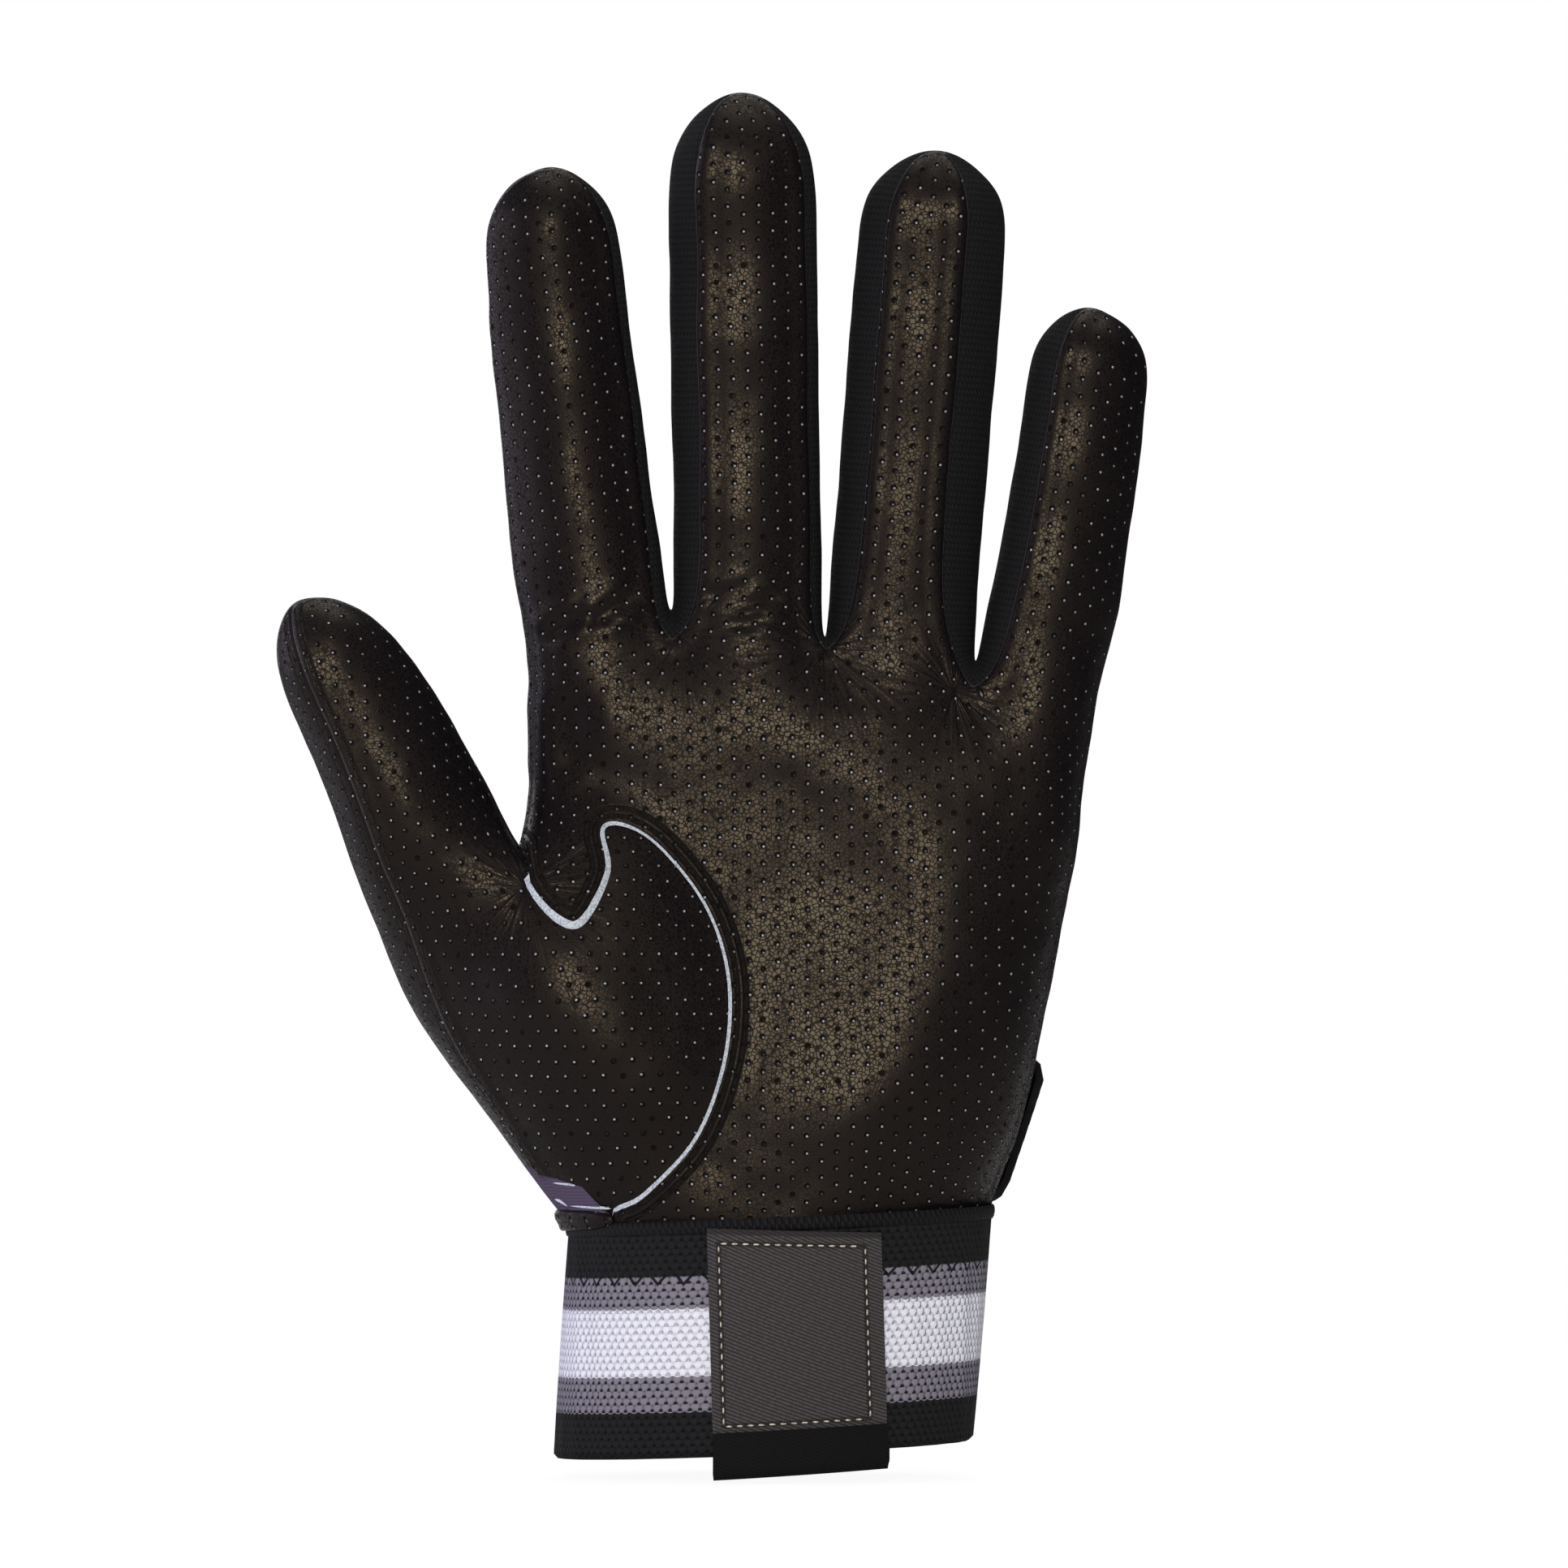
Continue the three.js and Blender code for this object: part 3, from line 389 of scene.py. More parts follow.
class Digit:
    """A finger or the thumb: its bends, its shape and how much of each side shows from the front"""

    def __init__(
        self, bend, lengths, lean, bow, widths, depths, cap, curl, shows, root=None, forward=0, narrowed=1.0
    ):
        self.bend, self.lengths, self.bow, self.cap = bend, lengths, bow, cap
        self.root_width, self.tip_width = widths
        self.root_depth, self.tip_depth = depths
        self.curl, self.forward = curl, forward
        self.show_left, self.show_right = shows
        self.narrowed = narrowed
        self.along = Vector((-math.sin(math.radians(lean)), math.cos(math.radians(lean))))
        self.side = Vector((self.along.y, -self.along.x))
        self.root = root
        self.is_thumb = root is not None

    def stand(self, x):
        self.root = Vector((x, self.bend - ROOT_DROP))

    @property
    def length(self):
        reach = self.bend + sum(self.lengths)
        return reach if self.is_thumb else (reach - self.root.y) / self.along.y

    def centre(self, distance):
        t = distance / self.length
        return self.root + self.along * distance + self.side * (self.bow * 4 * t * (1 - t))


FINGERS = {
    "index": Digit(102.7, [25, 22, 22.2], 6.2, -0.6, (23.8, 21), (18, 15), 14, 3, (1, 1.6), narrowed=0.35),
    "middle": Digit(100.7, [30, 27, 26.4], 0.9, 0, (23.8, 24.2), (18, 15.5), 16, 3, (4.6, 2)),
    "ring": Digit(98.7, [28, 25, 22.9], -4.6, 0, (23.6, 24), (17.5, 15), 13.5, 3, (5, 6.5)),
    "pinky": Digit(94.7, [20, 17, 17.3], -8.4, 1.1, (20.6, 18.8), (16, 13.5), 13, 2.5, (4, 1)),
}
THUMB = Digit(
    6, [23, 24.4], 26.6, 1.7, (27.5, 20.6), (23, 17), 18, 9, (4.5, 1), Vector((-52.9, 53)), 5
)
FINGER_NAMES = list(FINGERS)
root_x = INDEX_ROOT_X
for place, name in enumerate(FINGER_NAMES):
    if place > 0:
        before = FINGERS[FINGER_NAMES[place - 1]]
        root_x += (before.root_width + FINGERS[name].root_width) / 2 + FINGER_GAPS[place - 1]
    FINGERS[name].stand(root_x)

PANELS = ["front", "back", "outer", "gusset1", "gusset2", "gusset3"]
REGIONS = ["wrist", "palm", "thumb", *FINGER_NAMES]


def mixed(a, b, t):
    return a + (b - a) * t


def soft_step(values, low, high):
    t = np.clip((values - low) / (high - low), 0, 1)
    return t * t * (3 - 2 * t)


class Ring:
    """A closed row of cage points, with its coordinates on the flat leather and on the flat back"""

    def __init__(self, points, front, back, centres=None, length=None):
        self.points = points
        front_centre, back_centre = centres or (points[front].co.x, points[back].co.x)
        self.fronts = self.marks(front, 1, front_centre)
        self.backs = self.marks(back, -1, back_centre)
        self.heights = [point.co.z if length is None else length for point in points]

    def marks(self, start, step, centre):
        count = len(self.points)
        found = [centre] * count
        for way in (1, -1):
            here, distance = start, 0.0
            for _ in range(count // 2):
                after = (here + way * step) % count
                distance += (self.points[after].co - self.points[here].co).length
                found[after] = centre + way * distance
                here = after
        return found

    def corner(self, column, panel):
        marks = self.backs if panel in ("back", "outer") else self.fronts
        return self.points[column], (marks[column], self.heights[column])


class Cage:
    """Four-sided faces round the hand, each with its panel, its region and its flat coordinates"""

    def __init__(self):
        self.mesh = bmesh.new()
        self.panel = self.mesh.faces.layers.int.new("panel")
        self.region = self.mesh.faces.layers.int.new("region")
        self.flat = self.mesh.loops.layers.uv.new("flat")

    def point(self, x, y, height):
        return self.mesh.verts.new((x + SHIFT, y, height + LIFT))

    def face(self, corners, panel, region):
        face = self.mesh.faces.new([point for point, _ in corners])
        face.smooth = True
        face[self.panel] = PANELS.index(panel)
        face[self.region] = REGIONS.index(region)
        for loop, (_, flat) in zip(face.loops, corners):
            loop[self.flat].uv = flat

    def band(self, lower, upper, panels, region):
        for column, panel in enumerate(panels):
            after = (column + 1) % len(panels)
            corners = [lower.corner(column, panel), lower.corner(after, panel)]
            corners += [upper.corner(after, panel), upper.corner(column, panel)]
            self.face(corners, panel, region)


def front_swell(x, height):
    total = 0.0
    for place_x, place_height, across, along, swell in PALM_SWELLS:
        sideways, upward = (x - place_x) / across, (height - place_height) / along
        total += swell * math.exp(-(sideways**2) - upward**2)
    return total


def fullness(share, power):
    u = min(1.0, abs(2 * share - 1))
    return (1 - u**power) ** (1 / power)


def palm_ring(cage, last, across, height, depth):
    places = [(across(0), 0, height(0))]
    places += [(across(i), -depth(i, 0), height(i)) for i in range(1, last)]
    places += [(across(last), 0, height(last))]
    places += [(across(i), depth(i, 1), height(i)) for i in range(last - 1, 0, -1)]
    return [cage.point(*place) for place in places]


EVEN_RING_SHRINK = 0.9886
LOWER_MIDDLES = (6, 18)
UPPER_MIDDLES = (4, 16)
DIGIT_MIDDLES = (2, 6)


def lower_palm_ring(cage, row):
    row_height, left, right, front, back, spread = row
    last = len(COLUMN_SHARES) - 1
    even = [(1 - math.cos(math.pi * i / last)) / 2 for i in range(last + 1)]
    shares = [mixed(a, b, spread) for a, b in zip(even, COLUMN_SHARES)]
    shares[0] = -shares[1] / 2
    shares[last] = 1.5 - shares[last - 1] / 2
    tilts = THUMB_BASE_TILT + [0] * last

    def across(i):
        return left + (right - left) * shares[i]

    def height(i):
        return row_height + tilts[i] * spread**2

    def depth(i, side):
        full = mixed(math.sin(math.pi * i / last), fullness(shares[i], 3), spread)
        swelling = 0.0 if side else front_swell(across(i), height(i)) * spread
        return (back if side else front) * full / EVEN_RING_SHRINK + swelling

    return Ring(palm_ring(cage, last, across, height, depth), *LOWER_MIDDLES)


def root_columns():
    """Columns of the finger roots: place, height, and depths in front and behind"""

    def edge(name, side, share):
        finger = FINGERS[name]
        depths = [depth * EDGE_FULLNESS for depth in KNUCKLE_DEPTHS]
        return (finger.root.x + side * share * finger.root_width, finger.bend - EDGE_DROP, *depths)

    columns = [edge("index", -1, 0.5), edge("index", -1, EDGE_SHARE)]
    for i, name in enumerate(FINGER_NAMES):
        finger = FINGERS[name]
        columns.append((finger.root.x, finger.bend - KNUCKLE_DROP, *KNUCKLE_DEPTHS))
        if i < len(FINGER_GAPS):
            bend = min(finger.bend, FINGERS[FINGER_NAMES[i + 1]].bend)
            x = finger.root.x + finger.root_width / 2 + FINGER_GAPS[i] / 2
            columns.append((x, bend - CROTCH_DROPS[i], *CROTCH_DEPTHS))
    return columns + [edge("pinky", 1, EDGE_SHARE), edge("pinky", 1, 0.5)]


def upper_palm_ring(cage, row, web_ring, roots):
    share, front, back = row
    last = len(roots) - 1

    def across(i):
        return mixed(web_ring.points[i].co.x - SHIFT, roots[i][0], share)

    def height(i):
        return mixed(web_ring.points[i].co.z - LIFT, roots[i][1], share)

    def depth(i, side):
        place = (across(i) - across(0)) / (across(last) - across(0))
        swelling = 0.0 if side else front_swell(across(i), height(i))
        return (back if side else front) * fullness(place, 4) + swelling

    return Ring(palm_ring(cage, last, across, height, depth), *UPPER_MIDDLES)


SQUARENESS = 1.05
RING_REACH = 0.548
SEAM_LIMITS = (-0.94, 0.97)
CAP_RING_PLACE = 0.6
CAP_RING_WIDTH = 0.92
FINGER_RINGS = [0.1, 0.4, 0.7, 1]
THUMB_RINGS = [0.28, 0.64, 1]


def seam_angle(share):
    """Direction round a digit of a seam beyond which a share of the width shows"""
    low, high = SEAM_LIMITS
    cosine = (6 * (0.5 - share) / RING_REACH - 1) / (4 * SQUARENESS)
    return math.acos(max(low, min(high, cosine)))


def digit_ring(cage, digit, distance, shrink, centres):
    t = min(1.0, distance / (digit.length - digit.cap))
    width = mixed(digit.root_width, digit.tip_width, t)
    depth = mixed(digit.root_depth, digit.tip_depth, t)
    forward = mixed(digit.forward, digit.curl, (distance / digit.length) ** 2)
    left = math.pi - seam_angle(digit.show_left / width)
    show_right = digit.show_right * mixed(1.0, digit.narrowed, min(1.0, 2 * t))
    right = seam_angle(show_right / width)
    angles = [math.pi, left, (left + right) / 2, right, 0]
    angles += [turn * math.pi for turn in (-0.25, -0.5, -0.75)]

    def pull(i, j, part):
        return (4 + SQUARENESS * (abs(part(angles[i])) + abs(part(angles[j])))) / 6

    half_width = width * shrink / (pull(7, 1, math.cos) + pull(3, 5, math.cos))
    half_depth = depth * shrink / 2 / (pull(1, 3, math.sin) * abs(math.sin(angles[2])))
    points = []
    for i, angle in enumerate(angles):
        reach = SQUARENESS if i % 2 else 1
        spot = digit.centre(distance) + digit.side * (half_width * reach * math.cos(angle))
        points.append(cage.point(spot.x, -half_depth * reach * math.sin(angle) - forward, spot.y))
    return Ring(points, *DIGIT_MIDDLES, centres, digit.root.y + LIFT + distance)


def add_digit(cage, name, digit, shares, base, panels, last_panel):
    body = digit.length - digit.cap
    cap_ring = body + digit.cap * CAP_RING_PLACE
    front, back = DIGIT_MIDDLES
    centres = (base.fronts[front], base.backs[back])
    rings = [digit_ring(cage, digit, share * body, 1, centres) for share in shares]
    rings.append(digit_ring(cage, digit, cap_ring, CAP_RING_WIDTH, centres))
    lower = base
    for ring in rings:
        cage.band(lower, ring, panels, name)
        lower = ring
    reach = cap_ring + digit.cap * (1 - CAP_RING_PLACE) * 9 / 4
    peak = digit.centre(reach)
    crown = cage.point(peak.x, -digit.curl, peak.y)
    quarters = [((0, 1, 2), "front"), ((2, 3, 4), "front"), ((4, 5, 6), "back"), ((6, 7, 0), last_panel)]
    for columns, panel in quarters:
        corners = [lower.corner(column, panel) for column in columns]
        middle = centres[0] if panel == "front" else centres[1]
        cage.face([*corners, (crown, (middle, digit.root.y + LIFT + reach))], panel, name)


WRIST_BANDS = 3


def hand_cage():
    """The coarse cage of the palm, the thumb and the fingers"""
    cage = Cage()
    rings = [lower_palm_ring(cage, row) for row in PALM_ROWS]
    panels = ["outer", *["front"] * 11, *["back"] * 11, "outer"]
    for i in range(1, len(rings)):
        cage.band(rings[i - 1], rings[i], panels, "wrist" if i <= WRIST_BANDS else "palm")
    top = rings[-1]
    web = cage.point(*WEB_POINT)
    at = top.points
    thumb_base = Ring([*at[0:4], web, *at[21:24]], *DIGIT_MIDDLES, (top.fronts[2], top.backs[22]))
    thumb_panels = ["outer", "front", "front", "front", "back", "back", "back", "outer"]
    add_digit(cage, "thumb", THUMB, THUMB_RINGS, thumb_base, thumb_panels, "outer")

    lower = Ring([web, *at[3:22]], *UPPER_MIDDLES)
    columns = root_columns()
    uppers = [upper_palm_ring(cage, row, lower, columns) for row in UPPER_ROWS]
    points = palm_ring(
        cage, 10, lambda i: columns[i][0], lambda i: columns[i][1], lambda i, side: columns[i][2 + side]
    )
    roots = Ring(points, *UPPER_MIDDLES)
    for ring in [*uppers, roots]:
        cage.band(lower, ring, [*["front"] * 10, *["back"] * 10], "palm")
        lower = ring
    sides = [points[0]]
    for i, drop in enumerate(WEB_DROPS):
        bend = min(FINGERS[FINGER_NAMES[i]].bend, FINGERS[FINGER_NAMES[i + 1]].bend)
        sides.append(cage.point(columns[3 + 2 * i][0], 0, bend - drop))
    sides.append(points[10])
    for i, name in enumerate(FINGER_NAMES):
        front = points[1 + 2 * i : 4 + 2 * i]
        back = points[17 - 2 * i : 20 - 2 * i]
        centres = (roots.fronts[2 + 2 * i], roots.backs[18 - 2 * i])
        base = Ring([sides[i], *front, sides[i + 1], *back], *DIGIT_MIDDLES, centres)
        left = ["front", "back"] if i == 0 else [f"gusset{i}"] * 2
        right = ["front", "back"] if i == 3 else [f"gusset{i + 1}"] * 2
        panels = [left[0], "front", "front", right[0], right[1], "back", "back", left[1]]
        add_digit(cage, name, FINGERS[name], FINGER_RINGS, base, panels, "back")
    return cage.mesh


def smoothed(cage, levels):
    """The cage after some steps of Catmull-Clark smoothing"""
    mesh = bpy.data.meshes.new("hand_cage")
    cage.to_mesh(mesh)
    cage.free()
    holder = bpy.data.objects.new("hand_cage", mesh)
    bpy.context.collection.objects.link(holder)
    rounding = holder.modifiers.new("rounding", "SUBSURF")
    rounding.levels = rounding.render_levels = levels
    bpy.context.view_layer.update()
    result = bmesh.new()
    result.from_object(holder, bpy.context.evaluated_depsgraph_get())
    bpy.data.objects.remove(holder)
    bpy.data.meshes.remove(mesh)
    return result


# Lines on the palm, across and up
def spline(points, steps):
    """A smooth line through the points"""
    at = np.array(points, float)
    before = np.vstack([at[:1], at[:-2]])
    after = np.vstack([at[2:], at[-1:]])
    line = []
    for i in range(len(at) - 1):
        start, end = at[i], at[i + 1]
        leave = (end - before[i]) / 2
        arrive = (after[i] - start) / 2
        for t in np.arange(steps) / steps:
            line.append(
                (2 * t**3 - 3 * t**2 + 1) * start + (t**3 - 2 * t**2 + t) * leave
                + (3 * t**2 - 2 * t**3) * end + (t**3 - t**2) * arrive
            )
    return np.array([*line, at[-1]])


def from_line(points, line):
    """Distance of each point from a line, positive on its left, and how far along the line it lies"""
    best = np.full(len(points), 1e9)
    side = np.zeros(len(points))
    run = np.zeros(len(points))
    travelled = 0.0
    for start, end in zip(line, line[1:]):
        step = end - start
        length = np.hypot(*step)
        along = step / length
        offset = points - start
        t = np.clip(offset @ along, 0, length)
        distance = np.hypot(*(offset - t[:, None] * along).T)
        closer = distance < best
        best[closer] = distance[closer]
        side[closer] = np.sign(along[0] * offset[:, 1] - along[1] * offset[:, 0])[closer]
        run[closer] = travelled + t[closer]
        travelled += length
    return best * side, run


# Points nearer than this are one point
TOUCH = 1e-4


def cut(mesh, faces, spot, normal, along=None, length=0.0):
    """Cuts those of the faces that the plane crosses, and returns all of them after the cut"""
    spot, normal = Vector(spot), Vector(normal)

    def crossed(face):
        offsets = [vert.co - spot for vert in face.verts]
        heights = [offset.dot(normal) for offset in offsets]
        if min(heights) >= 0 or max(heights) <= 0:
            return False
        if along is None:
            return True
        runs = [offset.dot(along) for offset in offsets]
        return min(runs) < length and max(runs) > 0

    hit = [face for face in faces if crossed(face)]
    edges = {edge for face in hit for edge in face.edges}
    verts = {vert for face in hit for vert in face.verts}
    made = bmesh.ops.bisect_plane(
        mesh, geom=[*hit, *edges, *verts], dist=TOUCH, plane_co=spot, plane_no=normal
    )
    return set(faces) | {item for item in made["geom"] if isinstance(item, bmesh.types.BMFace)}


def cut_line(mesh, faces, line):
    """Cuts the faces along a line seen from the front, and returns all of them after the cut"""
    for (ax, az), (bx, bz) in zip(line, line[1:]):
        step = Vector((bx - ax, 0, bz - az))
        length = step.length
        along = step / length
        faces = cut(mesh, faces, (ax, 0, az), (-along.z, 0, along.x), along, length)
    return faces


# Seam round the thumb's ball, width of the cut edge at its points, and edge of the insert
SEAM_STEPS = 8
THUMB_BALL_SEAM = [
    (-40.3, 60.7), (-39, 54.2), (-34, 48.3), (-29.6, 48.1), (-25.4, 56.7), (-26.2, 64.1), (-20, 62.9),
    (-12.6, 55.3), (-8, 46.7), (-6.2, 36.7), (-7.4, 25.2), (-12, 13.7), (-20, 5.2), (-24.6, 2.8),
    (-25.4, 1.6), (-26, -1.3),
]
RAW_EDGE_WIDTHS = [0.8, 0.9, 1.25, 1.2, 0.9, 0.65, 0.4, 0.4, 0.45, 0.55, 0.6, 0.6, 0.75, 0.7, 0.1, 0.1]
INSERT_END_X = -25.8
INSERT_EDGE = [(-50, 12.7), (-30, 6.1), (INSERT_END_X, 1.3), (INSERT_END_X, -9)]


def on_hand(points):
    return np.array(points, float) + (SHIFT, LIFT)


seam_line = spline(on_hand(THUMB_BALL_SEAM), SEAM_STEPS)
seam_places = np.arange(len(seam_line)) / SEAM_STEPS
seam_widths = np.interp(seam_places, range(len(RAW_EDGE_WIDTHS)), RAW_EDGE_WIDTHS)
seam_steps = np.gradient(seam_line, axis=0)
seam_left = np.stack([-seam_steps[:, 1], seam_steps[:, 0]], 1)
seam_left /= np.hypot(*seam_left.T)[:, None]
edge_line = seam_line + seam_left * seam_widths[:, None]
insert_line = on_hand(INSERT_EDGE)

# Cuts across the digits: between the pieces of one digit, each of which spans one bend
ROOT_CUT = 2.2
THUMB_CUTS = (-4.5, 11.5)


def digit_cuts(name):
    """Plane places and direction of a digit's cuts"""
    if name == "thumb":
        direction = Vector((THUMB.along.x, 0, THUMB.along.y))
        places = [THUMB.root + THUMB.along * (THUMB.bend + offset) for offset in THUMB_CUTS]
        return [(place.x + SHIFT, 0, place.y + LIFT) for place in places], direction
    finger = FINGERS[name]
    bends = [finger.bend, finger.bend + finger.lengths[0], finger.bend + sum(finger.lengths[:2])]
    heights = [bends[0] - ROOT_CUT, (bends[0] + bends[1]) / 2 + 1, (bends[1] + bends[2]) / 2]
    return [(0, 0, height + LIFT) for height in heights], Vector((0, 0, 1))


CUTS = {name: digit_cuts(name) for name in ("thumb", *FINGER_NAMES)}
SMOOTHING = 4
hand = smoothed(hand_cage(), SMOOTHING)
panel_of = hand.faces.layers.int["panel"]
region_of = hand.faces.layers.int["region"]
hand_tree = BVHTree.FromBMesh(hand)
SEAM_REACH = 3
INSERT_REACH_X = -15


def cut_hand():
    """Cuts the hand's faces along the seams and across the digits"""

    def wrist_side():
        return [f for f in hand.faces if f[region_of] == 0 and f.calc_center_median().x < INSERT_REACH_X]

    front = PANELS.index("front")
    low_regions = (REGIONS.index("wrist"), REGIONS.index("palm"))
    palm = [f for f in hand.faces if f[panel_of] == front and f[region_of] in low_regions]
    centres = np.array([f.calc_center_median()[:] for f in palm])[:, [0, 2]]
    near = np.abs(from_line(centres, seam_line)[0]) < SEAM_REACH
    faces = cut_line(hand, {f for f, use in zip(palm, near) if use}, seam_line)
    cut_line(hand, faces, edge_line)
    cut_line(hand, {f for f in wrist_side() if f.calc_center_median().y < 0.5}, insert_line)
    cut(hand, wrist_side(), (0, 0, 0), (0, 1, 0))
    for name, (places, direction) in CUTS.items():
        own = {f for f in hand.faces if f[region_of] == REGIONS.index(name)}
        for place in places:
            own = cut(hand, own, place, direction)


cut_hand()

GUSSET_SIDES = {1: ("index", "middle"), 2: ("middle", "ring"), 3: ("ring", "pinky")}
TAPER_END = math.radians(78)
TAPER_LENGTH = 1.1
TAPER_STEPS = 9
TAPER_LEFT = 0.13


def taper(name, side_panel, face_panel):
    """Carries a side panel on round a digit's tip, narrowing, on the front or on the back"""
    digit = THUMB if name == "thumb" else FINGERS[name]
    side_index, face_index = PANELS.index(side_panel), PANELS.index(face_panel)
    forward = -1 if face_panel == "front" else 1
    frame_rows = np.array([digit.side[:], digit.along[:]])
    base = np.array(digit.root[:]) + (SHIFT, LIFT)

    def spread(places):
        return (np.array([place[:] for place in places])[:, [0, 2]] - base) @ frame_rows.T

    hand.normal_update()
    own = [f for f in hand.faces if f[region_of] == REGIONS.index(name)]
    low = digit.length - TAPER_LENGTH * digit.cap
    facing = [f for f in own if f.normal.y * forward > 0]
    pair = {side_index, face_index}
    seams = [e for f in facing for e in f.edges if {g[panel_of] for g in e.link_faces} == pair]
    border = [v for e in seams for v in e.verts]
    border_places = spread([v.co for v in border])
    start = border_places[np.argmin(np.abs(border_places[:, 1] - low))]
    places = spread([v.co for f in own for v in f.verts])
    crown = places[np.argmax(places[:, 1])]
    wide, high = crown - start
    turns = np.linspace(0, TAPER_END, TAPER_STEPS)
    arc = [(crown[0] - wide * math.cos(t), start[1] + high * math.sin(t)) for t in turns]
    line = np.array([*arc, (crown[0] - TAPER_LEFT * wide, crown[1] + 2)]) @ frame_rows + base
    centres = spread([f.calc_center_median() for f in facing])
    cap = {f for f, place in zip(facing, centres) if place[1] > low - 1}
    cap = list(cut_line(hand, cap, line))
    centres = np.array([f.calc_center_median()[:] for f in cap])
    outside = from_line(centres[:, [0, 2]], line)[0] * wide > 0
    for face, out, place in zip(cap, outside, spread(centres)):
        if place[1] > start[1] and (place[0] - crown[0]) * wide < 0:
            face[panel_of] = side_index if out else face_index


for gusset, pair in GUSSET_SIDES.items():
    for name in pair:
        taper(name, f"gusset{gusset}", "front")
        taper(name, f"gusset{gusset}", "back")
taper("thumb", "outer", "front")
taper("thumb", "outer", "back")

# The cuts leave slivers, which would spoil the shading
SLIVER = 0.04
bmesh.ops.remove_doubles(hand, verts=hand.verts, dist=SLIVER)
bmesh.ops.dissolve_degenerate(hand, edges=hand.edges, dist=SLIVER)

SEGMENTS = ["base", "mid", "tip"]


def piece_name(panel, region, centre, step, insert):
    """Name of the solid that a face of the hand stands for, or of the strip outside the thumb's seam"""
    segment = None
    if region not in ("wrist", "palm"):
        places, direction = CUTS[region]
        level = sum((centre - Vector(place)).dot(direction) > 0 for place in places)
        names = ["base", "tip"] if region == "thumb" else SEGMENTS
        segment = names[level - 1] if level else None
    if panel.startswith("gusset"):
        pair = GUSSET_SIDES[int(panel[-1])]
        side = "pinky_side" if region == pair[0] else "thumb_side"
        return f"{region}_{segment}_gusset_{side}" if segment else f"{pair[0]}_{pair[1]}_web"
    if region == "wrist" and insert > 0 and centre.y < 0 and centre.x < SHIFT + INSERT_END_X:
        return "wrist_insert"
    if panel == "outer":
        return f"thumb_{segment}_strip" if segment else "thumb_outer_strip"
    if panel == "back":
        return f"{region}_{segment}_back" if segment else "back_panel"
    if segment:
        return f"{region}_{segment}_leather"
    return "palm_leather" if step > 0 and region != "thumb" else "thumb_ball_leather"


def label_hand():
    """Gives every face its piece and its finish, and returns the names of the pieces"""
    finish_of = hand.faces.layers.int.new("finish")
    hand.normal_update()
    faces = list(hand.faces)
    centres = [face.calc_center_median() for face in faces]
    flat_centres = np.array([centre[:] for centre in centres])[:, [0, 2]]
    steps = from_line(flat_centres, seam_line)[0]
    inserts = -from_line(flat_centres, insert_line)[0]
    past_edge = from_line(flat_centres, edge_line)[0]
    names = []
    for i, face in enumerate(faces):
        panel, region = PANELS[face[panel_of]], REGIONS[face[region_of]]
        name = piece_name(panel, region, centres[i], steps[i], inserts[i])
        if name not in names:
            names.append(name)
        face.material_index = names.index(name)
        face[finish_of] = int(name == "palm_leather" and past_edge[i] < 0)
    return names


piece_names = label_hand()


EDGE_SAMPLES = 4


def nearness(edges):
    """A tree of places along the edges"""
    shares = [i / EDGE_SAMPLES for i in range(EDGE_SAMPLES)]
    samples = [e.verts[0].co.lerp(e.verts[1].co, share) for e in edges for share in shares]
    tree = KDTree(len(samples))
    for i, sample in enumerate(samples):
        tree.insert(sample, i)
    tree.balance()
    return tree


def mark_points():
    """Stores each point's outward direction and its distances, for the shape and for the finishes"""
    layers = hand.verts.layers
    names = ("edge", "sewn", "step", "run")
    for name in names:
        layers.float.new(name)
    out_layer = layers.float_vector.new("outward")
    edge_layer, sewn_layer, step_layer, run_layer = [layers.float[name] for name in names]
    verts = list(hand.verts)
    flat = np.array([v.co[:] for v in verts])[:, [0, 2]]
    step, run = from_line(flat, seam_line)
    gusset = PANELS.index("gusset1")
    borders = [e for e in hand.edges if len({f[panel_of] for f in e.link_faces}) > 1]
    edge_tree = nearness(borders)
    sewn_tree = nearness([e for e in borders if all(f[panel_of] < gusset for f in e.link_faces)])
    for i, vert in enumerate(verts):
        vert[edge_layer] = edge_tree.find(vert.co)[2]
        vert[sewn_layer] = sewn_tree.find(vert.co)[2]
        vert[step_layer] = step[i]
        vert[run_layer] = run[i]
        vert[out_layer] = vert.normal


mark_points()

# The wrist's edge follows the slant of the cuff
WRIST_SLANT_REACH = 16
for vert in hand.verts:
    share = (vert.co.x - SHIFT - CUFF_TOP_CENTRE) / CUFF_TOP_WIDTH + 0.5
    fade = 1 - soft_step(vert.co.z, LIFT, LIFT + WRIST_SLANT_REACH)
    vert.co.z += fade * mixed(*CUFF_RISE, max(0.0, min(1.0, share)))


def parted(mesh, names):
    """One object for each piece of the hand"""
    data = bpy.data.meshes.new("hand")
    mesh.to_mesh(data)
    mesh.free()
    holder = bpy.data.objects.new("hand", data)
    bpy.context.collection.objects.link(holder)
    for name in names:
        data.materials.append(bpy.data.materials.new(name))
    bpy.ops.object.select_all(action="DESELECT")
    holder.select_set(True)
    bpy.context.view_layer.objects.active = holder
    bpy.ops.mesh.separate(type="MATERIAL")
    return {piece.material_slots[0].name: piece for piece in list(bpy.context.selected_objects)}


